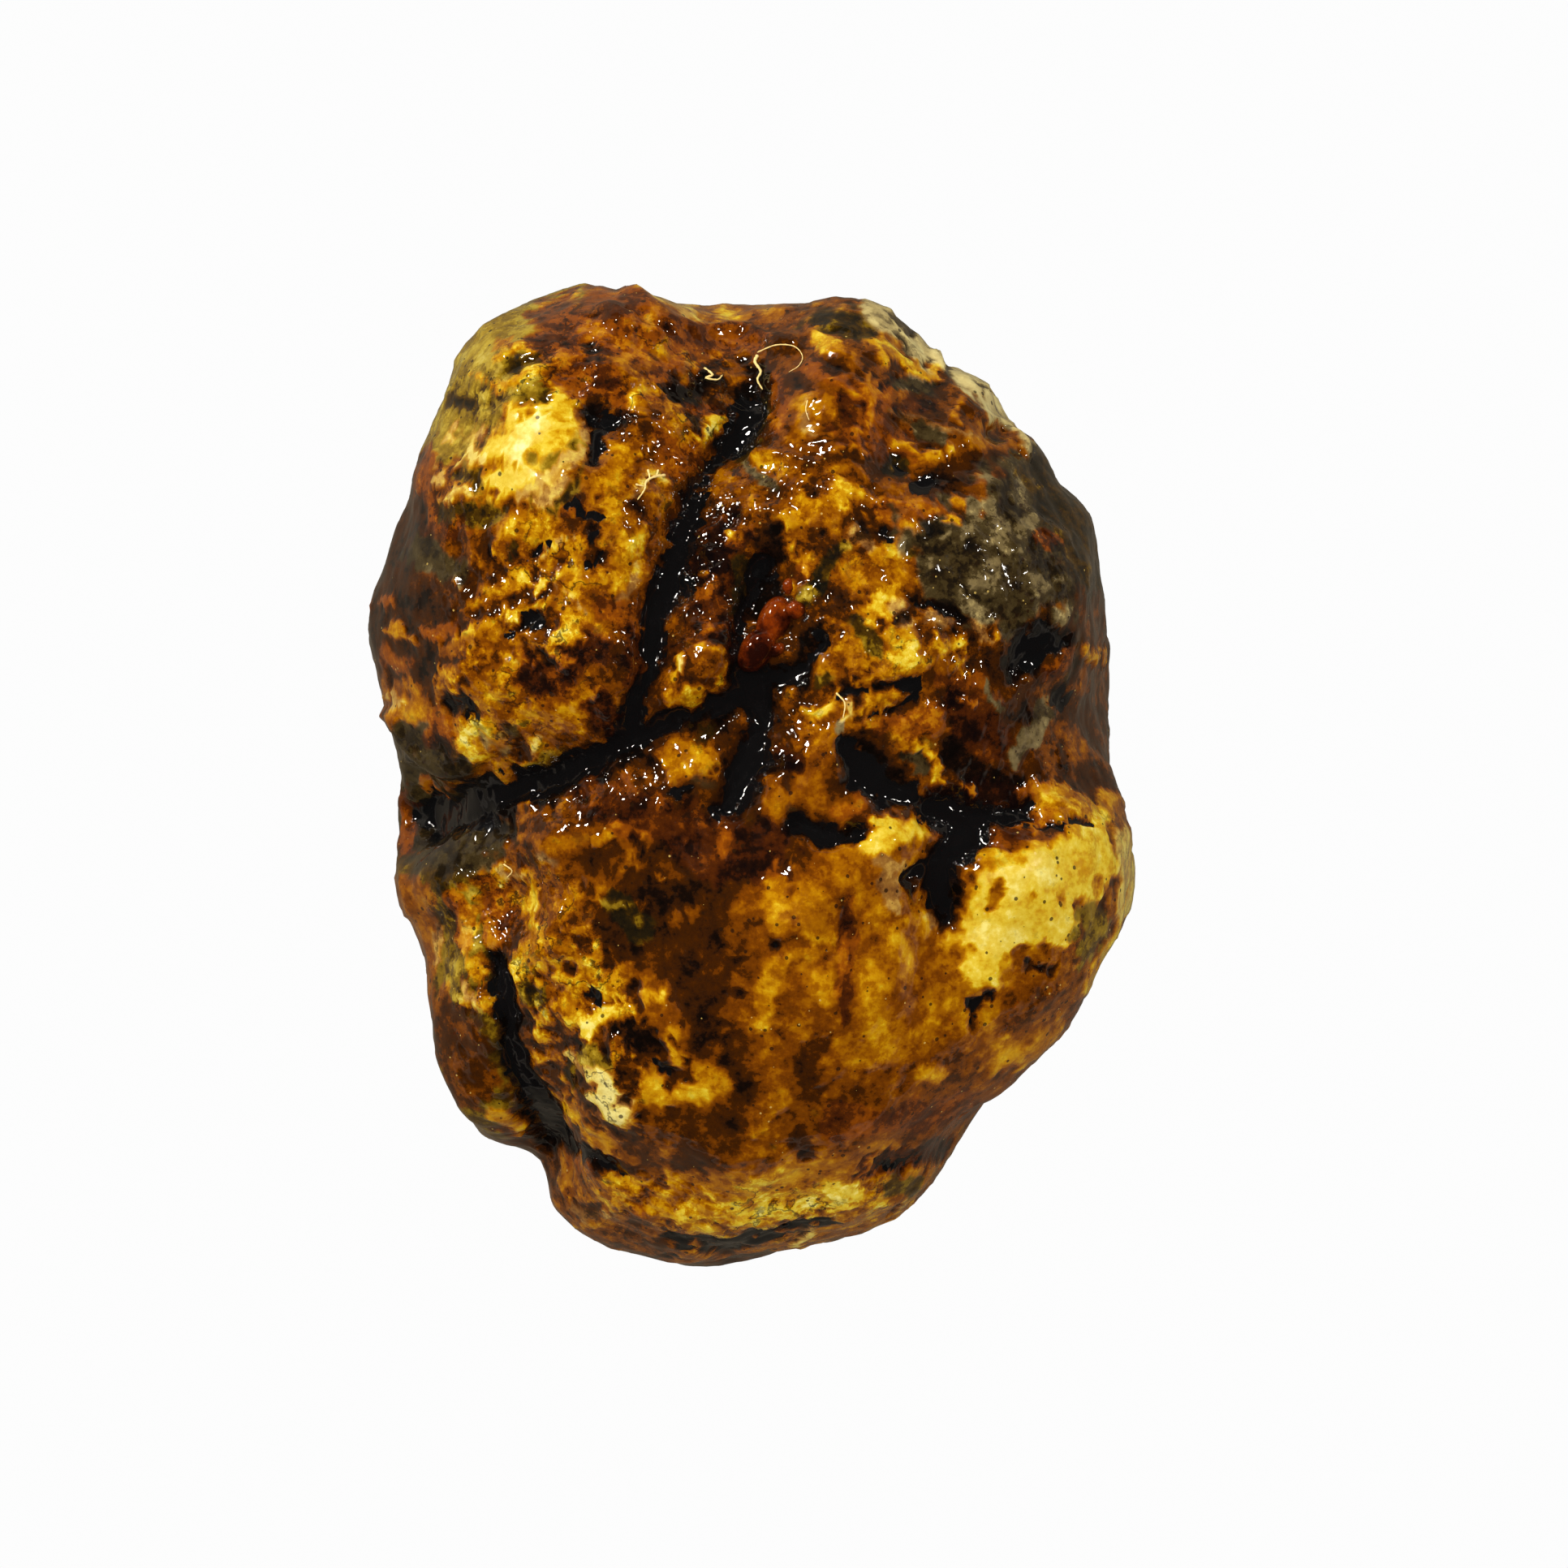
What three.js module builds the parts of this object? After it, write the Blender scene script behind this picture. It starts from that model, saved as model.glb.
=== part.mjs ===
// Raw amber nugget: one solid lump of fossil resin, about 60 mm long, lying on its flattest side.
//
// The lump is a deformed ball. Seen from above it fills a hand-drawn outline; from the side it is a
// rounded cushion with a worn flat under it. Lobes swell out of the upper face, clefts part them, and
// slow unevenness runs over the whole skin. Millimetres, +Z up, +Y along the lump, origin under its middle.
import * as THREE from "three";
import { ImprovedNoise } from "three/addons/math/ImprovedNoise.js";
import { mergeVertices } from "three/addons/utils/BufferGeometryUtils.js";

// Driving dimensions.
const LENGTH = 60; // along Y
const WIDTH = 46.4; // along X
const HEIGHT = 31; // from the worn flat to the crown
const GIRTH_HEIGHT = 13.5; // height of the widest section
const WORN_DEPTH = 1.6; // how much of the round underside is worn away to the flat
const TOP_SQUARENESS = 2.25; // 2 is an ellipse, more is boxier
const UNDERSIDE_SQUARENESS = 2.0;
const SKIN_DETAIL = 19; // the ball has 20 (SKIN_DETAIL + 1)^2 triangles
const CROWDING = 0.25; // how far the ball's corners are drawn up to the upper face, where the relief is
const GIRTH_BAND = 0.3; // share of the way to the crown over which lobes and clefts fade in
const OUTLINE_SECTORS = 180; // directions in which the skin's reach is measured against the outline
const GIRTH_SPAN = 0.5; // share of the way to the poles over which the widest place is looked for
const GIRTH_STEPS = 21; // heights tried in that span

// The outline seen from above, anticlockwise from the middle of the right side.
const OUTLINE = [
  [22.0, 0.0],
  [21.6, 5.0],
  [21.5, 12.5],
  [20.7, 16.2],
  [18.6, 18.2],
  [16.9, 20.9],
  [14.9, 21.7],
  [14.3, 23.7],
  [11.3, 25.1],
  [8.8, 27.6],
  [5.8, 29.0],
  [1.0, 28.6],
  [-2.4, 28.6],
  [-6.6, 29.3],
  [-9.6, 30.0],
  [-12.4, 29.1],
  [-15.0, 28.1],
  [-17.3, 25.8],
  [-18.4, 22.8],
  [-20.2, 19.8],
  [-21.2, 16.2],
  [-22.8, 11.8],
  [-23.3, 8.2],
  [-22.5, 5.2],
  [-21.9, 1.5],
  [-22.0, -3.0],
  [-21.7, -7.6],
  [-20.2, -10.8],
  [-19.5, -15.6],
  [-18.2, -19.8],
  [-15.8, -22.7],
  [-13.3, -23.8],
  [-12.2, -26.2],
  [-9.8, -28.3],
  [-6.4, -29.4],
  [-2.6, -30.0],
  [1.6, -29.2],
  [7.6, -28.0],
  [10.3, -26.3],
  [12.2, -23.2],
  [14.9, -19.4],
  [18.4, -16.1],
  [21.3, -11.7],
  [23.1, -8.2],
  [23.0, -3.8],
];

// Swellings of the upper face: middle, half-lengths along their own axes, turn in degrees, height.
const LOBES = [
  { at: [-13.5, 12.5], reach: [9.0, 14.5], turn: 0, rise: 2.6 }, // upper left shoulder
  { at: [10.5, 14.0], reach: [9.5, 13.0], turn: 25, rise: 1.3 }, // upper right shoulder
  { at: [1.5, -11.0], reach: [17.5, 13.0], turn: 8, rise: 2.4 }, // lower dome
  { at: [17.8, -7.2], reach: [5.6, 6.4], turn: -20, rise: 1.8 }, // knob on the right
  { at: [-17.2, -15.5], reach: [2.8, 8.0], turn: 8, rise: 1.0 }, // strip down the lower left
  { at: [-3.0, 6.0], reach: [2.6, 2.4], turn: 0, rise: 1.1 }, // island where the clefts meet
];

// Clefts of the upper face as the soft valleys they lie in: the line each follows, half its width, its depth.
const CLEFTS = [
  { line: [[-23.0, -2.2], [-17.5, -1.7], [-11.5, 0.3], [-5.5, 2.8], [0.4, 4.8]], half: 2.3, depth: 2.2 },
  { line: [[-0.6, 25.0], [-0.8, 21.6], [-3.4, 17.6], [-5.2, 11.5], [-5.6, 7.8], [-6.6, 3.0]], half: 2.4, depth: 1.9 },
  { line: [[0.8, 12.0], [1.0, 7.5], [0.5, 3.0], [-1.4, -1.8]], half: 2.2, depth: 1.4 },
  { line: [[2.4, -3.2], [6.0, -2.9], [7.2, 0.0], [11.4, -2.8], [17.0, -1.7]], half: 2.3, depth: 1.2 },
  { line: [[12.2, -2.8], [11.0, -5.4], [11.8, -8.8]], half: 2.1, depth: 1.0 },
  { line: [[-15.4, -8.0], [-14.8, -14.0], [-13.4, -19.4], [-13.2, -24.6]], half: 2.5, depth: 1.7 },
  { line: [[-12.4, -21.6], [-7.6, -24.2], [-1.0, -25.2], [5.0, -24.4], [12.6, -22.0]], half: 1.9, depth: 1.1 },
];

// Slow unevenness of the whole skin, from broad to fine: wavelength and height of each layer.
const UNEVENNESS = [
  { wavelength: 24, height: 2.6 },
  { wavelength: 11, height: 1.3 },
  { wavelength: 5.5, height: 0.5 },
];

const noise = new ImprovedNoise();

// Reads a radius at any angle from places given as { angle, radius }, straight from one to the next.
function radiusReader(places) {
  const turn = 2 * Math.PI;
  const rim = [...places].sort((a, b) => a.angle - b.angle);
  const [first, last] = [rim[0], rim[rim.length - 1]];
  rim.push({ angle: first.angle + turn, radius: first.radius });
  rim.unshift({ angle: last.angle - turn, radius: last.radius });
  return (angle) => {
    const next = rim.findIndex((place) => place.angle > angle);
    const [a, b] = [rim[next - 1], rim[next]];
    return THREE.MathUtils.mapLinear(angle, a.angle, b.angle, a.radius, b.radius);
  };
}

// The outline as a smooth closed curve through its points.
function outlineReader(points) {
  const corners = points.map(([x, y]) => new THREE.Vector3(x, y, 0));
  const curve = new THREE.CatmullRomCurve3(corners, true, "centripetal");
  const fine = curve.getPoints(points.length * 8).slice(1); // the last point repeats the first
  return radiusReader(fine.map((p) => ({ angle: Math.atan2(p.y, p.x), radius: Math.hypot(p.x, p.y) })));
}

function lobeHeight({ at, reach, turn, rise }, x, y) {
  const a = THREE.MathUtils.degToRad(turn);
  const [dx, dy] = [x - at[0], y - at[1]];
  const along = (dx * Math.cos(a) + dy * Math.sin(a)) / reach[0];
  const across = (dy * Math.cos(a) - dx * Math.sin(a)) / reach[1];
  return rise * Math.exp(-((along * along + across * across) ** 1.5));
}

function distanceToLine(line, x, y) {
  let nearest = Infinity;
  for (let i = 1; i < line.length; i++) {
    const [[ax, ay], [bx, by]] = [line[i - 1], line[i]];
    const [ux, uy] = [bx - ax, by - ay];
    const share = ((x - ax) * ux + (y - ay) * uy) / (ux * ux + uy * uy);
    const t = THREE.MathUtils.clamp(share, 0, 1);
    nearest = Math.min(nearest, Math.hypot(x - ax - t * ux, y - ay - t * uy));
  }
  return nearest;
}

// How far the upper face stands above the plain cushion at a place seen from above.
function upperRelief(x, y) {
  const swelling = LOBES.reduce((sum, lobe) => sum + lobeHeight(lobe, x, y), 0);
  const cuts = CLEFTS.map(({ line, half, depth }) => {
    const away = distanceToLine(line, x, y) / half;
    return depth * Math.exp(-0.7 * away * away);
  });
  return swelling - Math.max(...cuts);
}

function unevenness(p) {
  return UNEVENNESS.reduce((sum, { wavelength, height }, layer) => {
    const shift = 17.3 * (layer + 1); // moves each layer off the others' grid
    return sum + height * noise.noise(p.x / wavelength + shift, p.y / wavelength, p.z / wavelength);
  }, 0);
}

// The skin's point for a direction from the ball's middle.
function skinPoint(direction, outlineRadius) {
  const up = direction.z > 0;
  const power = 2 / (up ? TOP_SQUARENESS : UNDERSIDE_SQUARENESS);
  const pole = up ? HEIGHT - GIRTH_HEIGHT : GIRTH_HEIGHT + WORN_DEPTH;
  const angle = Math.atan2(direction.y, direction.x);
  const radius = outlineRadius(angle) * Math.hypot(direction.x, direction.y) ** power;
  const point = new THREE.Vector3(
    radius * Math.cos(angle),
    radius * Math.sin(angle),
    Math.sign(direction.z) * pole * Math.abs(direction.z) ** power,
  );
  const outward = new THREE.Vector3(
    point.x / (WIDTH / 2) ** 2,
    point.y / (LENGTH / 2) ** 2,
    point.z / pole ** 2,
  ).normalize();
  const aboveGirth = THREE.MathUtils.smoothstep(direction.z, 0, GIRTH_BAND);
  const shift = aboveGirth * upperRelief(point.x, point.y) + unevenness(point);
  return point.addScaledVector(outward, shift);
}

// How far the unfitted skin reaches sideways at any angle seen from above.
function reachReader(outlineRadius) {
  const places = Array.from({ length: OUTLINE_SECTORS }, (_, i) => {
    const angle = ((i + 0.5) / OUTLINE_SECTORS) * 2 * Math.PI - Math.PI;
    const radii = Array.from({ length: GIRTH_STEPS }, (_, j) => {
      const z = THREE.MathUtils.mapLinear(j, 0, GIRTH_STEPS - 1, -GIRTH_SPAN, GIRTH_SPAN);
      const flat = Math.sqrt(1 - z * z);
      const point = skinPoint(new THREE.Vector3(flat * Math.cos(angle), flat * Math.sin(angle), z), outlineRadius);
      return Math.hypot(point.x, point.y);
    });
    return { angle, radius: Math.max(...radii) };
  });
  return radiusReader(places);
}

// Slides a direction towards the top, the more the nearer it is to level.
function crowdUpward(direction) {
  const z = direction.z + CROWDING * (1 - direction.z ** 2);
  const flat = Math.sqrt(Math.max(1 - z * z, 0));
  const turn = Math.atan2(direction.y, direction.x);
  return direction.set(flat * Math.cos(turn), flat * Math.sin(turn), z);
}

function nuggetGeometry() {
  const ball = new THREE.IcosahedronGeometry(1, SKIN_DETAIL);
  ball.deleteAttribute("normal");
  ball.deleteAttribute("uv");
  const skin = mergeVertices(ball, 1e-5);
  const outlineRadius = outlineReader(OUTLINE);
  const reach = reachReader(outlineRadius);
  const places = skin.attributes.position;
  for (let i = 0; i < places.count; i++) {
    const direction = crowdUpward(new THREE.Vector3().fromBufferAttribute(places, i).normalize());
    const angle = Math.atan2(direction.y, direction.x);
    const share = outlineRadius(angle) / reach(angle); // makes the widest place meet the outline
    const point = skinPoint(direction, outlineRadius);
    places.setXYZ(i, point.x * share, point.y * share, Math.max(point.z + GIRTH_HEIGHT, 0));
  }
  // The box is brought to its stated size, with the origin under its middle.
  skin.computeBoundingBox();
  const { min, max } = skin.boundingBox;
  skin.translate(-(min.x + max.x) / 2, -(min.y + max.y) / 2, 0);
  skin.scale(WIDTH / (max.x - min.x), LENGTH / (max.y - min.y), HEIGHT / max.z);
  skin.computeVertexNormals();
  return skin;
}

const amber = new THREE.MeshStandardMaterial({ color: 0x8a5212, roughness: 0.25, metalness: 0 });
const nugget = new THREE.Mesh(nuggetGeometry(), amber);
nugget.name = "amber_nugget";

const group = new THREE.Group();
group.add(nugget);

export default group;
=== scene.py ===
from math import cos, pi, radians, sin

import bmesh
import bpy
import numpy as np
from mathutils import Euler, Matrix, Vector


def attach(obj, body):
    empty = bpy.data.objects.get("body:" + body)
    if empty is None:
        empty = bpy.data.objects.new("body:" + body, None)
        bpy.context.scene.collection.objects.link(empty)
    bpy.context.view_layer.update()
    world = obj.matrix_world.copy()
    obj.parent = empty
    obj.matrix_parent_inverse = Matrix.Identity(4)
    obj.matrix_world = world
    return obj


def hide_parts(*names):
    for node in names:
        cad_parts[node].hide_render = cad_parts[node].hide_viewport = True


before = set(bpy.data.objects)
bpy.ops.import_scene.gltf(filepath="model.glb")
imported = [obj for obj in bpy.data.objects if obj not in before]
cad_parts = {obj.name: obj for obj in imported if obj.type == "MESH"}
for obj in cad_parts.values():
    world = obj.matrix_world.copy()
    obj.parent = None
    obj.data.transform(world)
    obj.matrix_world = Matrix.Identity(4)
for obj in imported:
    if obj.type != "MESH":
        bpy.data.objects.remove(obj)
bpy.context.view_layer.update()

# ---------------------------------------------------------------------------------------------
# Studio: a white light table, a camera straight above it and lamps round it.
# The table keeps the ground white and free of hard shadows, the big lamp overhead is soft, and
# three small low lamps behind and beside the nugget make the sharp glints on its wet skin.
# ---------------------------------------------------------------------------------------------
MM = 0.001
SENSOR = 36.0
VIEW_MIDDLE = (1.9 * MM, -0.5 * MM)  # what the camera hangs over
VIEW_WIDTH = 95.6 * MM  # how much it takes in at the nugget's girth
GIRTH_HEIGHT = 13.5 * MM
CAMERA_HEIGHT = 0.6

scene = bpy.context.scene
scene.view_settings.view_transform = "Standard"


def link(piece):
    scene.collection.objects.link(piece)
    return piece


def add_node(tree, kind, inputs=None, **settings):
    """A shader node with its settings made and its inputs filled: each from a socket or a plain value."""
    node = tree.nodes.new(kind)
    for name, value in settings.items():
        setattr(node, name, value)
    for name, value in (inputs or {}).items():
        if isinstance(value, bpy.types.NodeSocket):
            tree.links.new(value, node.inputs[name])
        else:
            node.inputs[name].default_value = value
    return node


def new_material(name):
    """An empty node material and its output."""
    material = bpy.data.materials.new(name)
    material.use_nodes = True
    material.node_tree.nodes.clear()
    return material, material.node_tree, add_node(material.node_tree, "ShaderNodeOutputMaterial")


def in_reflections(tree):
    """1 for what is seen mirrored in the wet skin, otherwise 0."""
    path = add_node(tree, "ShaderNodeLightPath").outputs
    both = {0: path["Is Glossy Ray"], 1: path["Is Reflection Ray"]}
    return add_node(tree, "ShaderNodeMath", both, operation="MULTIPLY").outputs[0]


camera = link(bpy.data.objects.new("overhead_camera", bpy.data.cameras.new("overhead_camera")))
camera.location = (*VIEW_MIDDLE, CAMERA_HEIGHT)
camera.data.sensor_width = SENSOR
camera.data.lens = SENSOR * (CAMERA_HEIGHT - GIRTH_HEIGHT) / VIEW_WIDTH
camera.data.clip_start, camera.data.clip_end = 0.01, 10.0
scene.camera = camera

TABLE_HALF = 1.5
TABLE_DROP = 0.1 * MM  # keeps the table just clear of the nugget's worn flat
table_mesh = bpy.data.meshes.new("light_table")
table_corners = [(x * TABLE_HALF, y * TABLE_HALF, 0) for x, y in ((-1, -1), (1, -1), (1, 1), (-1, 1))]
table_mesh.from_pydata(table_corners, [], [(0, 1, 2, 3)])
light_table = link(bpy.data.objects.new("light_table", table_mesh))
light_table.location.z = -TABLE_DROP
table_white, tree, output = new_material("table_white")
glass = add_node(tree, "ShaderNodeBsdfPrincipled", {"Base Color": (0.12, 0.10, 0.07, 1), "Roughness": 0.6})
lit = add_node(tree, "ShaderNodeEmission", {"Color": (1, 1, 1, 1), "Strength": 0.98})
table_light = {0: in_reflections(tree), 1: lit.outputs[0], 2: glass.outputs[0]}
tree.links.new(add_node(tree, "ShaderNodeMixShader", table_light).outputs[0], output.inputs["Surface"])
table_mesh.materials.append(table_white)

# The room: it lights evenly from all sides, but the wet skin mirrors little of it.
room = bpy.data.worlds.new("studio_room")
scene.world = room
room.use_nodes = True
tree = room.node_tree
tree.nodes.clear()
direction = add_node(tree, "ShaderNodeTexCoord").outputs["Generated"]
height = add_node(tree, "ShaderNodeSeparateXYZ", {"Vector": direction}).outputs["Z"]
glow = add_node(tree, "ShaderNodeMapRange", {
    "Value": height, "From Min": 0.0, "From Max": 0.22, "To Min": 0.34, "To Max": 0.004,
}, interpolation_type="SMOOTHSTEP").outputs["Result"]
walls = add_node(tree, "ShaderNodeBackground", {"Color": (1.0, 1.0, 1.0, 1), "Strength": 0.79})
mirrored_walls = add_node(tree, "ShaderNodeBackground", {"Color": (1.0, 0.86, 0.70, 1), "Strength": glow})
room_light = {0: in_reflections(tree), 1: walls.outputs[0], 2: mirrored_walls.outputs[0]}
room_light = add_node(tree, "ShaderNodeMixShader", room_light)
tree.links.new(room_light.outputs[0], add_node(tree, "ShaderNodeOutputWorld").inputs["Surface"])


def lamp(name, place, size, watts, mirrored=True):
    """A round, slightly warm area lamp at place, in metres, that faces the nugget."""
    data = bpy.data.lights.new(name, "AREA")
    data.shape, data.size, data.energy, data.color = "DISK", size, watts, (1.0, 0.95, 0.88)
    made = link(bpy.data.objects.new(name, data))
    made.location = place
    made.rotation_euler = (Vector((0, 0, GIRTH_HEIGHT)) - Vector(place)).to_track_quat("-Z", "Y").to_euler()
    made.visible_glossy = mirrored


lamp("overhead_softbox", (-0.05, 0.08, 0.75), 0.45, 2.7, mirrored=False)
lamp("lamp_left", (-0.43, 0.30, 0.32), 0.075, 1.1)
lamp("lamp_back", (-0.18, 0.49, 0.32), 0.065, 0.9)
lamp("lamp_right", (0.47, 0.23, 0.32), 0.042, 0.3)

# ---------------------------------------------------------------------------------------------
# Nugget: one lump of fossil resin, dug up raw and washed, still wet.
# Its weathered skin is stained from pale yellow through gold and brown to black, split by
# clefts that hold black, gummy matter. It is carved here from a smooth copy of the solid.
# ---------------------------------------------------------------------------------------------
# Clefts: how deep, then the line each follows as x, y and half-width, all in mm.
CLEFTS = [
    (1.9, [(-20.2, -2.4, 0.7), (-18, -2.2, 1), (-16, -1.7, 0.9), (-14, -0.9, 0.75), (-10.5, 0.5, 0.6),
           (-7, 2.2, 0.5), (-4.4, 3.3, 0.4), (-1.5, 4, 0.5), (0.3, 4.8, 0.8)]),
    (2, [(-0.2, 22.8, 0.55), (-0.9, 20.6, 0.5), (-2.6, 18.6, 0.45), (-3.7, 16, 0.45), (-4.7, 13.4, 0.5),
           (-5.2, 11, 0.6), (-5.6, 8.5, 0.5), (-6, 6.2, 0.5), (-6.9, 4.4, 0.5), (-7.4, 3, 0.5)]),
    (2, [(0.6, 12.6, 0.4), (0.3, 10.4, 0.35), (-0.5, 8.2, 0.35), (0.2, 5.8, 0.9), (0.5, 3.2, 0.7),
           (-0.1, 1, 0.65), (-0.9, -1, 0.6), (-1.4, -1.9, 0.5)]),
    (1.4, [(1.4, 5.8, 0.6), (3, 6.4, 0.3), (4.2, 8.1, 0.25)]),
    (1.5, [(2.3, -2.8, 0.35), (4.2, -3.5, 0.45), (6.4, -3.2, 0.4)]),
    (0.9, [(5.6, 1.6, 0.5), (6.6, 0.8, 0.7), (7.4, -0.5, 0.8), (9.4, -1.1, 0.4)]),
    (1.6, [(10.8, -2, 0.6), (13, -2.6, 0.7), (16.4, -1.9, 0.45)]),
    (1.7, [(13.2, -3.4, 0.8), (11.6, -5, 0.7), (11.2, -6.6, 0.7), (11.9, -8.4, 0.3)]),
    (1.2, [(10.4, -5.6, 0.5), (9, -6.2, 0.25)]),
    (2, [(-15.7, -11, 0.35), (-14.9, -13, 0.45), (-14.8, -16, 0.5), (-13.8, -18.8, 0.6),
           (-12.7, -20.8, 0.8), (-12.3, -22.4, 0.7)]),
    (0.9, [(-12, -22.4, 0.5), (-9.6, -23, 0.3), (-7.4, -24.3, 0.15)]),
    (0.4, [(7.6, -23.8, 0.06), (8.8, -23.6, 0.16), (10.2, -23.2, 0.12)]),
    (0.8, [(-5, -28.6, 0.25), (-2, -28.6, 0.3), (1.8, -27.9, 0.25), (5, -27.2, 0.25)]),
    (1.5, [(-9.3, 21.6, 0.35), (-8.2, 21.3, 0.4)]),
    (1.1, [(-9.2, 20.6, 0.3), (-9.3, 18.9, 0.3)]),
    (1.1, [(-9.6, 14.5, 0.07), (-8.8, 13.3, 0.14), (-9.4, 12.2, 0.12)]),
    (0.9, [(-13.3, 13.5, 0.3), (-12.6, 13.9, 0.25)]),
    (0.7, [(-12.95, 9.35, 0.3), (-13.5, 8.9, 0.15), (-14.7, 8.2, 0.12)]),
    (0.8, [(-18.2, 4.3, 0.25), (-17, 4.2, 0.3), (-16.8, 3.6, 0.25)]),
    (0.9, [(15.8, 6.2, 0.3), (16.8, 7.6, 0.6), (18.2, 8, 0.4)]),
    (0.9, [(19, 4.6, 0.5)]),
    (0.6, [(9.7, 10.2, 0.15), (11.2, 10, 0.15), (12.6, 9.3, 0.15)]),
    (0.5, [(5.4, 4.8, 0.12), (8, 5.4, 0.12), (10, 5.6, 0.12)]),
    (0.5, [(7.2, 3.1, 0.12), (8.6, 4, 0.12), (10.2, 4.9, 0.2)]),
    (0.7, [(10.2, 17.4, 0.3), (11.4, 17.8, 0.2)]),
    (0.6, [(9, 18.5, 0.3)]),
    (0.6, [(13, -13.5, 0.09), (14.5, -13.2, 0.07)]),
    (0.5, [(13, -13.6, 0.09), (12.9, -14.9, 0.05)]),
    (0.5, [(-9.7, -12.6, 0.12), (-9.7, -13.7, 0.18)]),
    (0.6, [(-5.9, -17.7, 0.2), (-5.1, -17.8, 0.2)]),
    (0.5, [(-4.6, -0.7, 0.2), (-3.2, -0.6, 0.2)]),
    (0.5, [(-10.8, 16.2, 0.12), (-10, 15.2, 0.15), (-8.6, 15.3, 0.12)]),
    (0.5, [(8.2, 14.5, 0.25)]),
    (0.4, [(16.2, -3.2, 0.12), (18.4, -3, 0.12), (20.2, -2.9, 0.12)]),
    (0.4, [(16.9, -11.4, 0.06), (18.1, -11.8, 0.06)]),
    (0.7, [(1.5, -9.9, 0.25)]),
]

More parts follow.
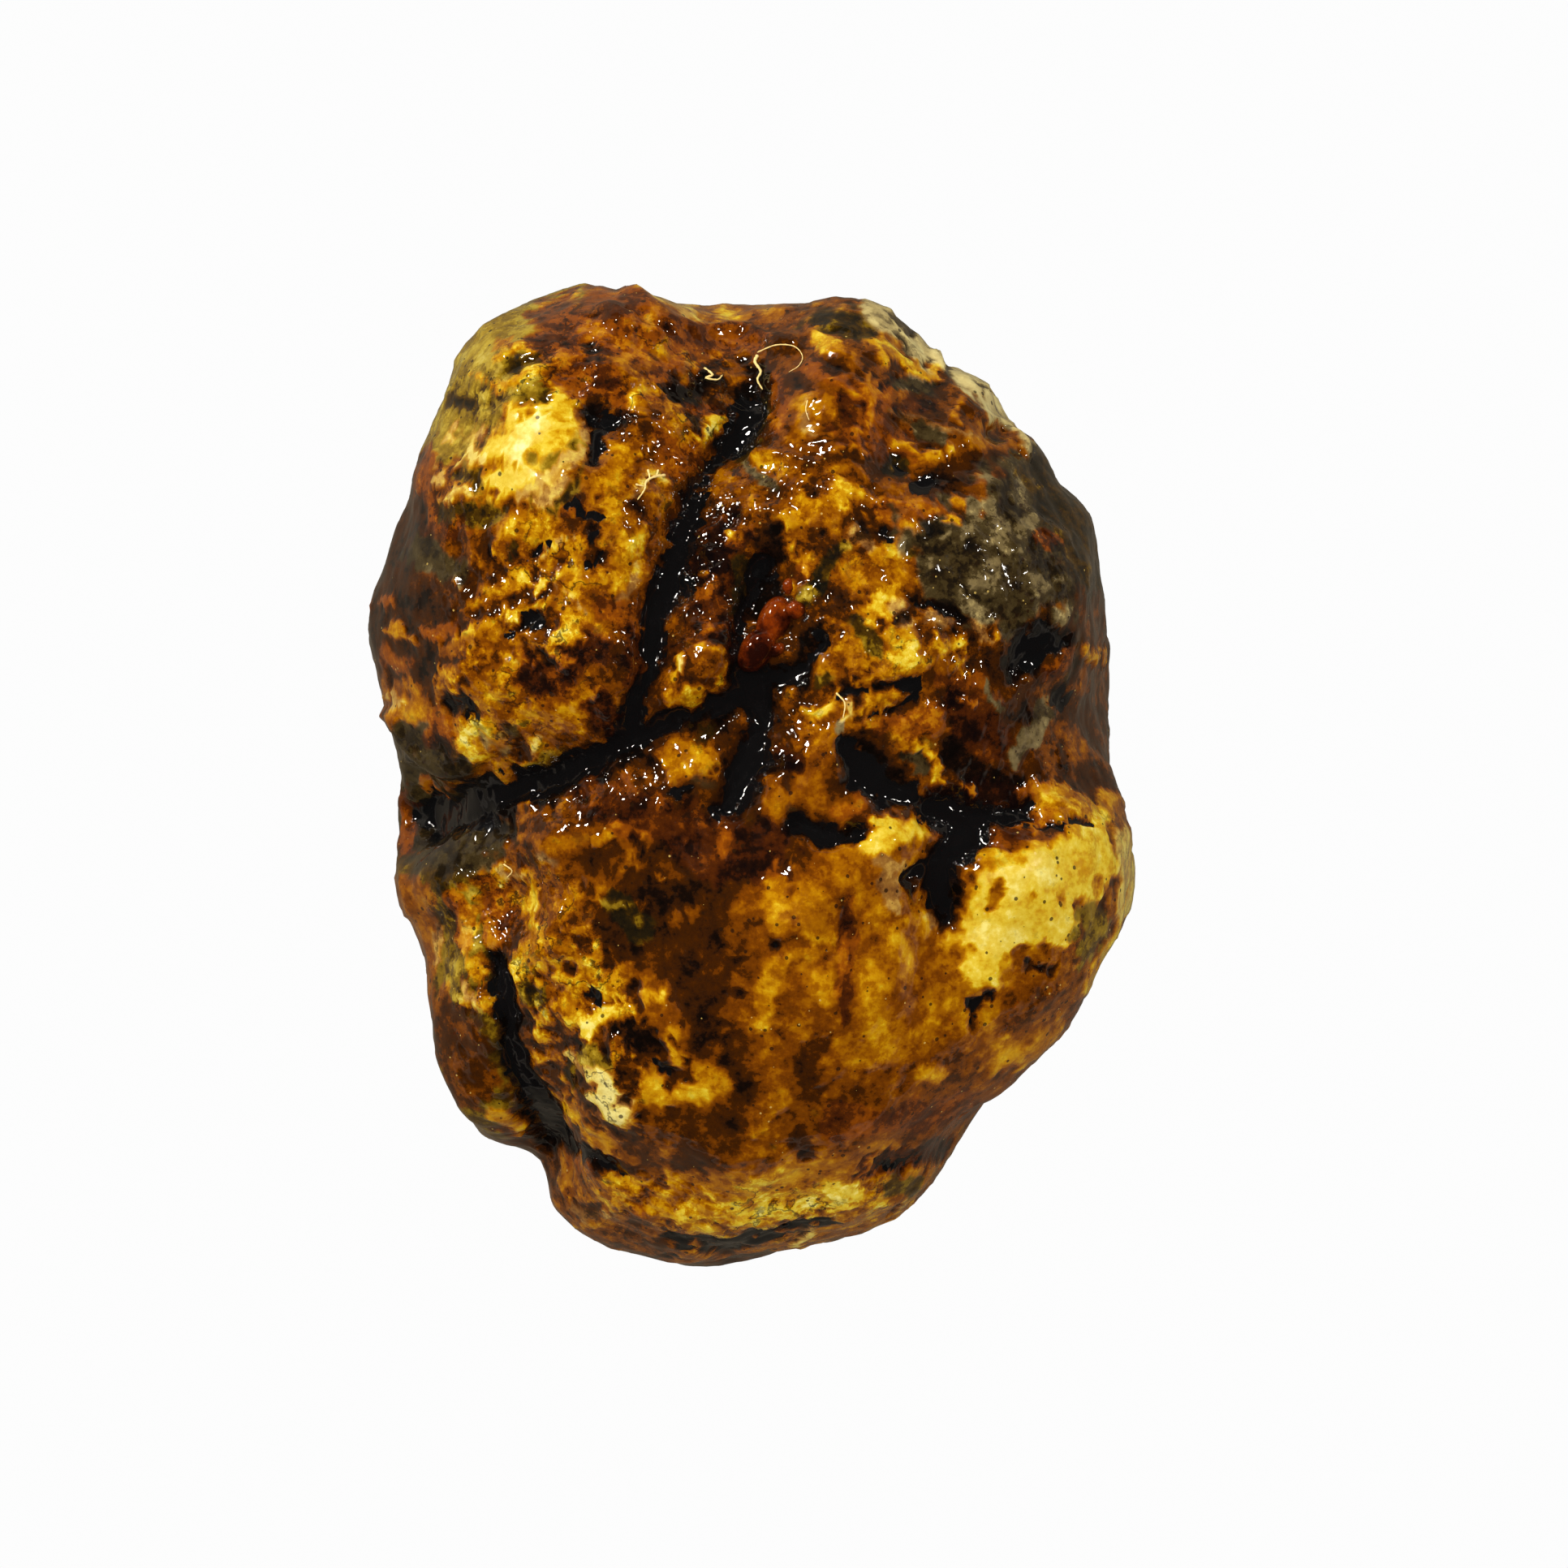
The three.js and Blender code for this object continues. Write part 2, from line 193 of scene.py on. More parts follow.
# Stains, with a few grey strokes that are painted reflections off wet facets: the cast, where it isn't
# plain amber, then how ripe the amber is from 0 (black) to 1 (pale), half-width and line in mm.
# They are laid on in this order, the later over the earlier.
STAINS_AND_SHEENS = [
    # the ground colour of each lobe
    (0.5, 7, [(-13, 20), (-12, 8)]),
    (0.25, 2.6, [(-21, 15), (-21.6, 10), (-20, 7.5)]),
    (0.24, 1.8, [(-18.4, 11.5), (-18.6, 8.6)]),
    (0.4, 6.5, [(4, 22), (5, 14)]),
    (0.38, 5, [(12, 20), (10, 22)]),
    (0.37, 5.5, [(8, 9), (4, 3)]),
    (0.32, 4.5, [(15, 6), (14, 2), (19, 2)]),
    (0.34, 2, [(21.5, 14), (22, 8), (21.5, 2)]),
    (0.31, 8.5, [(-5, -8), (-5, -18)]),
    (0.47, 4.6, [(3, -6), (2.5, -17)]),
    (0.3, 1.6, [(-1.5, -3.5), (1.8, -5.5)]),
    (0.22, 2.2, [(-6.5, -6), (-4, -8.5), (-5.5, -10)]),
    ("olive", 0.2, 0.9, [(-8, -7.5), (-6.5, -9.5)]),
    (0.24, 1.4, [(-3.5, -13), (-2.5, -17.5)]),
    (0.24, 1.2, [(-1, -19), (-2, -21.5)]),
    (0.57, 6, [(9, -9), (9, -16), (15, -14)]),
    (0.46, 3, [(14, -19), (4, -22), (8, -21)]),
    (0.72, 2.6, [(15.5, -14.8), (18, -13.2)]),
    (0.4, 1.6, [(-1, -21.5), (2, -20.5)]),
    ("olive", 0.46, 3.4, [(-19, -6), (-17.8, -20)]),
    (0.54, 1.2, [(-20.6, -7), (-20.4, -12), (-19.2, -16)]),
    (0.41, 3.8, [(-10, -26), (-6, -26)]),
    (0.61, 3.8, [(-2, -26), (8, -26)]),
    # upper left lobe: olive-gold shoulder with yellow streaks
    ("olive", 0.66, 2.9, [(-18.8, 22), (-15.2, 25.6), (-12.4, 27.6)]),
    ("olive", 0.3, 0.7, [(-17.6, 22.4), (-14.5, 22.8), (-12, 22.3)]),
    ("olive", 0.32, 0.5, [(-14, 24.9), (-12.6, 24.8)]),
    (0.84, 0.25, [(-16.6, 23.8), (-15.8, 23.8)]),
    (0.88, 0.38, [(-15.4, 23.2), (-14, 23.6), (-13.2, 23.8), (-12.5, 24.2)]),
    (0.84, 0.25, [(-15.3, 25), (-14.2, 25.5)]),
    (0.84, 0.28, [(-13, 25.6), (-12.8, 25.2)]),
    (0.72, 0.4, [(-15, 26.1), (-13.6, 26)]),
    (0.76, 0.3, [(-12.8, 28.1), (-12.2, 27.7)]),
    (0.84, 0.35, [(-11.2, 29.1)]),
    (0.72, 0.22, [(-11.8, 24.6), (-10.4, 25)]),
    # its pale yellow patch
    ("olive", 0.56, 2.5, [(-15, 18.8), (-12, 19.2)]),
    (0.92, 1.6, [(-15.2, 18.9), (-13.2, 20), (-12, 20.4)]),
    (0.86, 0.6, [(-11.4, 21.2), (-10.8, 22.9)]),
    (0.95, 1.1, [(-14.8, 17.2), (-13.4, 17.4)]),
    (0.97, 0.7, [(-14.1, 21.6)]),
    (1, 0.8, [(-14, 19.2), (-13, 20.6)]),
    (0.68, 0.35, [(-16, 18.3), (-15.2, 18.4)]),
    (0.8, 0.3, [(-12.6, 19), (-11.6, 19.1)]),
    ("olive", 0.36, 0.22, [(-10.4, 19.4), (-11.3, 17.9), (-13, 16.4)]),
    ("buff", 0.84, 0.3, [(-10.9, 18.6), (-12.3, 17.2), (-13.6, 16.3)]),
    ("buff", 0.74, 0.28, [(-9.9, 19.4), (-11.2, 17.2), (-12.5, 16.2)]),
    ("olive", 0.32, 0.22, [(-10.1, 17.4), (-11.6, 16.2), (-13, 15.6)]),
    ("buff", 0.66, 0.4, [(-9.9, 21.2), (-10.2, 20.2)]),
    ("olive", 0.26, 0.35, [(-17.4, 18.2), (-16.4, 17.9), (-16.2, 17.2)]),
    ("buff", 0.92, 0.3, [(-17.6, 18.7), (-17.2, 19.2)]),
    ("buff", 0.96, 0.4, [(-16.9, 19.4), (-16.3, 18.8)]),
    ("buff", 0.86, 0.3, [(-18.5, 16.3), (-17.3, 17.2), (-16.4, 16.6)]),
    ("buff", 0.8, 0.35, [(-18.4, 20.4), (-18, 20.9)]),
    ("buff", 0.84, 0.3, [(-17.1, 20.4), (-16.4, 20.7)]),
    ("buff", 0.72, 0.3, [(-18.8, 17.4), (-18.7, 18.4)]),
    ("olive", 0.28, 0.5, [(-18.6, 15.7), (-16.8, 15.5), (-15, 15.6)]),
    ("ember", 0.5, 0.5, [(-19.7, 19.4), (-19.6, 17.2), (-19.2, 15.6)]),
    # red-brown saddle and the black hole below it
    ("ember", 0.4, 1.9, [(-11.4, 27), (-9.6, 24.4)]),
    ("ember", 0.48, 0.9, [(-9.4, 28.8), (-7.6, 28.3)]),
    ("ember", 0.62, 0.8, [(-9.8, 26.9)]),
    ("ember", 0.54, 0.7, [(-7.8, 26.2), (-6.6, 26)]),
    (0.1, 0.4, [(-10.1, 25.8), (-9.4, 25.6)]),
    (0.14, 0.35, [(-9.8, 24.8), (-8.3, 24.9)]),
    ("ember", 0.58, 0.3, [(-9.4, 23.1), (-8.9, 23.4)]),
    ("ember", 0.3, 0.9, [(-8.6, 23.2), (-7.6, 22.6)]),
    (0.02, 1, [(-9.4, 21.7), (-8, 21.3)]),
    (0.04, 0.5, [(-9.3, 20.6), (-9.3, 18.9)]),
    # gold and orange ridge to the right of the hole
    ("ember", 0.54, 1.4, [(-5.6, 26.2), (-4.8, 19)]),
    (0.76, 0.4, [(-7.5, 24.3), (-6.2, 24.7)]),
    (0.74, 0.3, [(-7, 24), (-6.2, 23.3), (-5.2, 23.2)]),
    (0.76, 0.25, [(-6.8, 22.7), (-6.5, 21.4), (-5.9, 20.5)]),
    (0.6, 0.55, [(-5.9, 22)]),
    (0.66, 0.5, [(-5.6, 25.5), (-4.6, 26.1)]),
    (0.66, 0.8, [(-4.8, 22.4), (-4.3, 20.6)]),
    (0.66, 0.8, [(-8.3, 19.2), (-8.2, 17.6)]),
    (0.66, 0.7, [(-9.5, 17.7), (-9.2, 16.5)]),
    (0.7, 0.3, [(-8.2, 16.2), (-7.2, 16.5)]),
    ("ember", 0.56, 0.38, [(-10.8, 15.9), (-10.2, 15.6)]),
    (0.42, 0.7, [(-6.8, 20.4), (-6.6, 18.4)]),
    (0.5, 0.7, [(-5.4, 17.4), (-6, 15.6)]),
    ("buff", 0.9, 0.2, [(-5.2, 17.9), (-6.2, 17.9), (-6.3, 17.2), (-6.8, 16.5)]),
    (0.76, 0.75, [(-6.8, 14.6), (-7.5, 13.4), (-7.2, 12), (-7.9, 10.6)]),
    (0.88, 0.35, [(-7.4, 13.6), (-6.6, 14.3)]),
    ("buff", 0.8, 0.3, [(-7, 12.6), (-7.2, 11.2), (-8.2, 10.3)]),
    (0.12, 0.45, [(-9.6, 14.6), (-8.8, 13.3), (-9.4, 12.2)]),
    # ochre island with its dark eye
    (0.66, 1.2, [(-14.4, 14.4), (-12, 14.6), (-10.9, 13.2), (-11.2, 12)]),
    ("buff", 0.8, 0.25, [(-13.6, 12.9), (-12.4, 13), (-11.7, 13.8), (-10.6, 14.2)]),
    (0.8, 0.3, [(-14.4, 14.9), (-13.2, 15.2), (-12, 15.2)]),
    (0.04, 0.42, [(-13.3, 13.5), (-12.6, 13.9)]),
    ("olive", 0.3, 0.22, [(-14.6, 13.4), (-14.4, 14.2)]),
    (0.7, 0.6, [(-15, 11.3), (-14, 12.2), (-13, 12.2)]),
    (0.92, 0.55, [(-13.4, 10.8), (-12.6, 11.2), (-11.8, 11.6)]),
    (0.84, 0.38, [(-14.9, 10.9)]),
    (0.88, 0.45, [(-14.6, 9.8), (-13.6, 9.3)]),
    (0.8, 0.32, [(-16.8, 8.4), (-15.2, 9.1)]),
    (0.66, 1.3, [(-11.5, 9.5)]),
    ("buff", 0.78, 0.2, [(-11.4, 10.9), (-10.5, 10.4), (-10.1, 9.5)]),
    (0.1, 0.2, [(-13.8, 10.9), (-13.1, 10.1), (-11.8, 10.8)]),
    (0.02, 0.35, [(-12.95, 9.35), (-13.5, 8.9)]),
    (0.1, 0.2, [(-13.5, 8.9), (-14.7, 8.2)]),
    (0.78, 0.28, [(-14.9, 8), (-13.7, 8.4)]),
    (0.56, 0.5, [(-18.3, 7.7), (-16.5, 7.8), (-14.4, 7.4)]),
    # left flank
    ("crust", 0.32, 0.9, [(-20.2, 13.6), (-18.8, 13), (-17.7, 12.4)]),
    ("ember", 0.4, 0.35, [(-19.5, 14.9), (-17, 14.6)]),
    (0.42, 0.8, [(-16.2, 13.8), (-16, 12.6)]),
    ("ember", 0.6, 0.35, [(-22.3, 10.4)]),
    ("ember", 0.46, 0.5, [(-22.2, 7.6), (-21.4, 6.6)]),
    (0.12, 0.6, [(-19.8, 7.2), (-19.2, 6.2)]),
    ("ember", 0.54, 0.5, [(-19.6, 8.9), (-17.8, 9)]),
    (0.7, 0.65, [(-18.3, 6.2), (-17.2, 6), (-17, 5)]),
    (0.7, 0.7, [(-15.1, 5.2), (-14.6, 4.2), (-15.2, 3.4)]),
    (0.68, 0.3, [(-16, 4.6), (-15.8, 3.4)]),
    (0.05, 0.4, [(-18.2, 4.3), (-17, 4.2), (-16.8, 3.6)]),
    (0.68, 0.38, [(-21.1, 3.7), (-20.2, 3.6)]),
    (0.56, 0.35, [(-21.3, 5.3), (-20.6, 5.2)]),
    ("buff", 0.8, 0.22, [(-21.8, 5), (-21.4, 4.4)]),
    (0.8, 0.85, [(-17, 2.8), (-16.6, 1.5)]),
    ("ember", 0.54, 0.7, [(-19.2, 3.2), (-18.2, 2.6)]),
    ("ember", 0.54, 0.5, [(-13.8, 6.8), (-13.2, 5.6)]),
    (0.7, 1, [(-14.6, 5.6), (-13.6, 3.2), (-12, 3.6)]),
    ("ember", 0.26, 1.5, [(-12.2, 5.8), (-9.5, 7.2)]),
    (0.46, 0.5, [(-10.3, 4.9), (-9.6, 5.9)]),
    (0.04, 0.35, [(-13, 7.6), (-12.6, 6.8)]),
    ("ember", 0.3, 0.8, [(-7.3, 8.9), (-6.9, 5.6)]),
    ("ember", 0.5, 0.9, [(-8.4, 9.6), (-6.8, 9.4)]),
    (0.64, 0.65, [(-15.4, 0.1), (-13.4, 1.5), (-12, 2.8), (-10.6, 3.6)]),
    (0.62, 0.4, [(-15.9, -0.4), (-14.4, -0.2)]),
    ("buff", 0.78, 0.22, [(-13.3, 1.3), (-12.9, 2)]),
    (0.76, 0.3, [(-12.4, 2.6), (-11.6, 3)]),
    (0.3, 0.35, [(-14.3, 1.7), (-13.9, 1.2)]),
    ("ember", 0.27, 0.9, [(-9.2, 4), (-8.2, 2.9)]),
    ("ember", 0.28, 0.6, [(-20.4, 2.4), (-18.6, 1.7)]),
    ("crust", 0.24, 0.5, [(-20.8, 1.2), (-18.6, 0.4), (-17.2, 0.4)]),
    # black ground below the long cleft's left end
    ("crust", 0.3, 2.6, [(-21.4, 0.6), (-20.6, -3), (-17.5, -3.4)]),
    ("ember", 0.42, 0.6, [(-21.6, -1), (-21.4, -4.2)]),
    ("ember", 0.6, 0.38, [(-20.2, -0.9), (-19.6, -1.3)]),
    # rear rim, red-brown under a pale fold
    ("ember", 0.42, 1, [(-7.4, 27.6), (-3.4, 26.6), (0.4, 26.4)]),
    (0.62, 0.8, [(-5.6, 28.3), (-1.5, 28), (1.5, 28.2)]),
    ("buff", 0.78, 0.6, [(-6.6, 28.9), (-5, 28.6), (-4.2, 28.3)]),
    ("buff", 0.9, 0.28, [(-3.5, 27.4)]),
    (0.84, 0.3, [(-1.9, 27.9), (-1.1, 27.9)]),
    ("ember", 0.6, 0.5, [(-5, 26), (-4.2, 25.8)]),
    ("ember", 0.66, 0.32, [(-3.1, 24.9), (-2, 25.2)]),
    (0.46, 0.8, [(0.4, 27.4), (2.4, 27.4)]),
    # black gummy hollow and the olive-black band that runs down from it
    (0.08, 0.8, [(-4.2, 23.4), (-2.4, 24.2), (-0.2, 24.4), (0.2, 22.8)]),
    ("olive", 0.24, 0.8, [(0.2, 22.4), (0, 21), (-0.8, 19.8)]),
    ("ember", 0.34, 0.5, [(-3.6, 22.4), (-2.2, 22.3)]),
    (0.88, 0.55, [(-3, 20.2), (-2.3, 21), (-1.8, 21.3)]),
    (0.72, 0.28, [(-3.6, 20.3), (-3, 19.8)]),
    (0.6, 1, [(-2.1, 17.8), (-1, 16.8), (-0.4, 15.6)]),
    (0.5, 0.6, [(-2.6, 19.4), (-1.6, 19)]),
    ("ember", 0.5, 0.5, [(1.2, 24), (1.6, 22.6), (1.5, 21.2)]),
    # lumpy brown middle
    ("ember", 0.2, 1.9, [(-2.2, 14.4), (-2, 9.6)]),
    (0.8, 0.28, [(-1.2, 14.4)]),
    (0.8, 0.28, [(-3.3, 12.2)]),
    ("ember", 0.46, 0.5, [(-3.3, 10.8), (-2.4, 11.4)]),
    ("ember", 0.48, 0.35, [(-1.5, 8.8)]),
    ("ember", 0.44, 0.35, [(-2.6, 8.9)]),
    ("olive", 0.1, 0.6, [(-0.4, 12.6), (-0.6, 10)]),
    (0.04, 0.7, [(1.2, 14.6), (0.9, 12), (1, 10.6)]),
    # grey streak: a painted reflection, the sheen off a wet facet, laid on with the crust cast
    ("crust", 0.42, 0.3, [(-0.4, 18.9), (0.2, 18), (1.3, 16.9)]),
    # orange panels
    (0.64, 1, [(3.2, 22.2), (3.2, 20.6)]),
    ("ember", 0.58, 0.5, [(4.6, 20.8)]),
    ("buff", 0.7, 0.2, [(3.3, 22.7), (3.1, 21.4), (3.5, 20.4)]),
    (0.62, 0.8, [(0.8, 19), (2, 18.6), (2.2, 17.6)]),
    ("ember", 0.5, 0.4, [(1.2, 21.9)]),
    # upper right lobe
    ("ember", 0.4, 1.6, [(6.2, 20.2), (8.6, 19.6)]),
    (0.24, 0.9, [(5.8, 18.6), (7.6, 17.8)]),
    ("ember", 0.52, 0.5, [(3.2, 24.4), (6, 23.4), (8, 22.9)]),
    (0.18, 0.35, [(4.6, 24.5), (7, 24.2), (8.4, 23.8)]),
    ("ember", 0.24, 0.3, [(5, 22.6), (8, 22.1), (11, 22.2)]),
    (0.84, 0.7, [(4.1, 26), (5.3, 25.5)]),
    (0.6, 0.6, [(6.6, 25.7), (8, 25.6)]),
    ("olive", 0.24, 0.9, [(4.2, 27.3), (6.6, 26.9)]),
    ("crust", 0.8, 0.75, [(7.2, 27.8), (8.6, 26.8), (10.4, 25.6)]),
    ("crust", 0.3, 0.4, [(8.4, 27.6), (9.3, 26.9)]),
    (0.82, 0.7, [(8, 25.1), (9.3, 24.6), (10.6, 24)]),
    ("crust", 0.36, 0.45, [(9.1, 23.4), (10.6, 23.3)]),
    ("crust", 0.36, 0.5, [(10.2, 20.8), (11.2, 20.2)]),
    ("buff", 0.56, 0.25, [(8.4, 21.9), (11, 21), (14, 20.3)]),
    (0.74, 0.42, [(8.8, 19.9), (10.2, 19.3), (11.8, 19.6)]),
    (0.68, 0.55, [(10.4, 18.7), (11.2, 18.6)]),
    (0.2, 1.2, [(12.4, 18.2), (11.4, 17.2)]),
    ("olive", 0.1, 0.6, [(9, 18.5)]),
    (0.03, 0.5, [(10.2, 17.4), (10.9, 17.6)]),
    (0.66, 0.35, [(13, 20.2), (15.4, 19.8)]),
    ("crust", 0.9, 1, [(11.4, 24.8), (13.2, 23.9), (14.8, 22.5)]),
    ("crust", 0.34, 0.4, [(11.3, 25.6), (12.2, 25.2)]),
    ("crust", 0.4, 0.32, [(13.6, 23.2), (14.6, 23.4)]),
    ("crust", 0.74, 0.5, [(14.6, 21.8), (16, 20.4), (17, 19)]),
    # gold-brown band above the middle
    (0.6, 1, [(2.4, 15.6), (4.8, 16.2)]),
    (0.8, 0.32, [(3, 16.7), (3.5, 16.3)]),
    (0.68, 0.45, [(5, 17.2), (5.5, 16)]),
    ("ember", 0.6, 0.7, [(7.8, 15.9), (9.8, 15.8), (11.5, 15.6)]),
    ("buff", 0.68, 0.5, [(6.1, 14.6), (7.2, 13.2)]),
    (0.7, 0.5, [(7.4, 12.8), (8.8, 14)]),
    (0.72, 0.35, [(9.4, 14.9), (10.8, 14.6)]),
    (0.05, 0.35, [(8.2, 14.5)]),
    ("olive", 0.34, 0.4, [(9.1, 13.4), (10.2, 13.2)]),
    (0.62, 0.7, [(2.5, 13.8), (2.6, 12.8)]),
    ("ember", 0.44, 0.6, [(3, 11.8), (3.6, 11.2)]),
    ("olive", 0.14, 0.5, [(5.4, 13.6), (3.2, 10.6)]),
    (0.58, 1.2, [(7, 11.8), (9.4, 12)]),
    # olive-grey crust
    ("crust", 0.27, 3.6, [(17, 16), (15.8, 12), (13, 12.8)]),
    ("olive", 0.24, 1.4, [(17.4, 17.6), (19.4, 15.6), (20.4, 12.4)]),
    ("crust", 0.6, 0.75, [(13, 16), (12.8, 14.6)]),
    ("crust", 0.54, 0.5, [(14, 17.6), (14.3, 16.2)]),
    ("crust", 0.54, 0.5, [(15.7, 17.2), (16.3, 16.3)]),
    ("crust", 0.56, 0.5, [(14.2, 14.2), (14.8, 14.4)]),
    ("crust", 0.52, 0.55, [(16.5, 15), (16, 13.8)]),
    ("crust", 0.54, 0.45, [(13.4, 11.6), (14, 11.4)]),
    ("crust", 0.58, 0.5, [(16.5, 11.6), (17.3, 11)]),
    ("crust", 0.5, 0.5, [(12.3, 10.5), (13.6, 9.6), (14.6, 9.2)]),
    ("crust", 0.48, 0.3, [(18.5, 9.6), (18.3, 8.7)]),
    (0.8, 0.35, [(12, 14.9), (12.2, 16.1)]),
    ("ember", 0.4, 0.35, [(17.2, 14.2), (18.6, 14)]),
    (0.03, 0.28, [(9.7, 10.2), (11.2, 10), (12.6, 9.3)]),
    # right of the middle: yellow-gold ledge
    (0.64, 0.8, [(6.2, 8.4), (7.2, 6.6), (9.6, 6.5)]),
    (0.82, 0.85, [(7.4, 9.8), (8.8, 8.2), (9.4, 7.1)]),
    ("buff", 0.86, 0.5, [(8.4, 10.1), (9.3, 9)]),
    (0.8, 0.45, [(11, 7.7), (12.3, 7.6)]),
    ("buff", 0.66, 0.5, [(13.5, 8.4), (14.3, 8.1)]),
    ("buff", 0.58, 0.3, [(10.3, 9.3), (11.8, 9)]),
    (0.62, 0.6, [(10.5, 6.8), (12.2, 6.4)]),
    ("olive", 0.4, 0.4, [(6.4, 9.2), (7.6, 7.4)]),
    ("ember", 0.28, 1.5, [(13.2, 4.2), (13.6, 1.6)]),
    (0.06, 0.9, [(16, 6.4), (17.2, 7.9), (18.2, 8)]),
    (0.03, 0.7, [(19, 4.7)]),
    (0.76, 0.35, [(20.2, 7.8), (20.5, 6.9), (21.1, 7.6)]),
    ("ember", 0.42, 0.6, [(18.9, 7), (17.8, 6.2)]),
    (0.52, 0.5, [(19.4, 2.4), (20.2, 1)]),
    # these two grey streaks are painted reflections, the sheen off wet facets, laid on with the crust cast
    ("crust", 0.46, 0.3, [(14.1, 5.3), (14.6, 3.7)]),
    ("crust", 0.54, 0.6, [(15.5, 1.2), (16.5, 2.6), (17.6, 4.2)]),
    ("ember", 0.44, 0.4, [(11.5, 5.7), (13.5, 5.6)]),
    ("ember", 0.54, 0.8, [(8, 2.7), (11, 3.4)]),
    (0.66, 0.5, [(6.6, 4), (8.6, 4.7)]),
    (0.04, 0.22, [(5.4, 4.8), (8, 5.4), (10, 5.6)]),
    (0.04, 0.25, [(7.2, 3.1), (8.6, 4), (10.2, 4.9)]),
    (0.8, 0.35, [(9.5, 1.6), (11, 0.9), (11.2, -0.4), (10.9, -1.2)]),
    ("crust", 0.3, 0.5, [(9.5, 0.7), (10.1, 0.2)]),
    (0.04, 0.9, [(6.4, 1.4), (7.2, 0), (8.8, -1)]),
    (0.1, 0.9, [(12, 1.5), (13, 0), (15.4, -0.5)]),
    ("ember", 0.1, 1, [(11, -1.8), (13.6, -1.6), (17, -1.2)]),
    (0.02, 0.9, [(13.2, -3.4), (11.6, -5), (11.3, -6.6), (11.9, -8.2)]),
    (0.05, 0.5, [(10.2, -5.6), (9, -6.2)]),
    ("ember", 0.52, 0.32, [(11.4, -5.4), (11.9, -5.6)]),
    ("buff", 0.56, 0.38, [(10.6, -8.4), (11, -8.8)]),
    # knob on the right with its big yellow patch
    (0.64, 0.7, [(18.6, -0.9), (19.8, -1.4)]),
    (0.72, 0.8, [(17.4, -2), (21.4, -2.4)]),
    ("ember", 0.42, 0.65, [(14.6, -3.9), (17.6, -2.6)]),
    (0.48, 3, [(16, -12.8), (18.4, -12)]),
    (0.9, 1.9, [(14.8, -6.7), (19, -5.8)]),
    (0.91, 1.8, [(14, -9), (17.4, -8.6)]),
    (0.9, 1.2, [(13.9, -11.2), (14.3, -11.8)]),
    (0.88, 1.4, [(19.8, -3.7), (20.8, -5.4)]),
    (0.96, 0.9, [(15.4, -6.4), (17.2, -5.8)]),
    (0.96, 0.8, [(14, -9.4), (15.6, -9.8)]),
    (0.76, 0.6, [(13.7, -5.1), (15.4, -5.2)]),
    (0.6, 0.3, [(14.6, -6.8), (14.2, -7.5)]),
    ("buff", 0.88, 0.7, [(22.4, -3.4), (22.8, -6), (22.5, -8.6)]),
    ("olive", 0.54, 0.8, [(19.8, -8.2), (21, -9.2), (20.2, -10.4)]),
    (0.5, 0.4, [(21.8, -6.9), (21.9, -9)]),
    (0.78, 0.6, [(22.6, -9.6), (21.8, -11.2), (20.6, -12.6)]),
    ("olive", 0.56, 0.5, [(18.9, -9.4)]),
    (0.06, 0.25, [(13, -13.5), (14.5, -13.2)]),
    (0.08, 0.22, [(13, -13.6), (12.9, -14.9)]),
    (0.1, 0.22, [(16.8, -11.4), (18.1, -11.8)]),
    (0.2, 0.22, [(16.2, -3.2), (18.4, -3), (20.2, -2.9)]),
    # yellow chip beside the black pool, and the slot left of it
    (0.88, 0.65, [(6.8, -4), (8.6, -3.5), (10.2, -2.9)]),
    (0.88, 0.4, [(7.3, -2.5), (8.4, -2.5)]),
    ("ember", 0.5, 0.38, [(11.2, -3), (11.3, -3.7)]),
    ("buff", 0.64, 0.5, [(7.3, -5.1), (8.7, -5.4)]),
    (0.02, 0.5, [(2.5, -3), (4.2, -3.5), (6.2, -3.2)]),
    ("ember", 0.56, 0.4, [(6.5, -0.8), (6.4, -1.7), (5.3, -2.1)]),
    # islands where the clefts meet
    (0.76, 0.75, [(-4.4, 4.2), (-3.2, 4.8)]),
    (0.76, 0.4, [(-4.3, 6), (-3.8, 7)]),
    (0.42, 0.85, [(-2.6, 6.6)]),
    (0.68, 0.22, [(-3, 7.8), (-1.5, 7.3), (-1.5, 5.8), (-2.2, 4.6)]),
    ("buff", 0.98, 0.22, [(-3.9, 6.9), (-3.7, 6.4)]),
    (0.64, 0.85, [(-5, 0.8), (-3.8, 1.1), (-2.2, 1.2)]),
    (0.78, 0.4, [(-3.9, 0.8), (-3.4, 1)]),
    (0.1, 0.28, [(-4.6, -0.7), (-3.2, -0.6)]),
    (0.03, 0.6, [(-15.6, -2.2), (-13.4, -1.6), (-11.6, -0.9), (-9.6, -0.1), (-7, 1.1)]),
    # right bank of the middle cleft
    (0.82, 0.45, [(3, 4), (3.9, 3.9), (4.5, 4.6)]),
    (0.6, 0.6, [(2.4, 3.3), (3.4, 2.8)]),
    (0.54, 1.1, [(4.1, 1.8), (3.8, 0), (3, -1.2)]),
    (0.62, 0.85, [(1, -0.8), (1.2, -2.6)]),
    ("ember", 0.14, 0.6, [(1.7, 1.4), (2.3, 0.7)]),
    ("crust", 0.44, 0.4, [(5.3, 2.8)]),
    ("buff", 0.84, 0.2, [(4.9, 4.9), (5.6, 4.3), (5.5, 3.3)]),
    (0.58, 0.8, [(3.6, 6.8), (5.4, 6.2), (5.3, 7.6)]),
    ("olive", 0.26, 0.38, [(3.8, 5.7), (4.4, 5.7)]),
    (0.04, 0.7, [(-0.8, 8), (0, 5.8), (2.4, 5.9), (4, 8.3)]),
    # lower dome, left part
    ("ember", 0.34, 1.6, [(-9.4, -1.6), (-6, -2.4)]),
    ("ember", 0.28, 1.8, [(-4, -3), (-1.5, -4.6), (1.2, -4.6)]),
    (0.52, 1.4, [(-12.6, -2.8), (-10.4, -3.4)]),
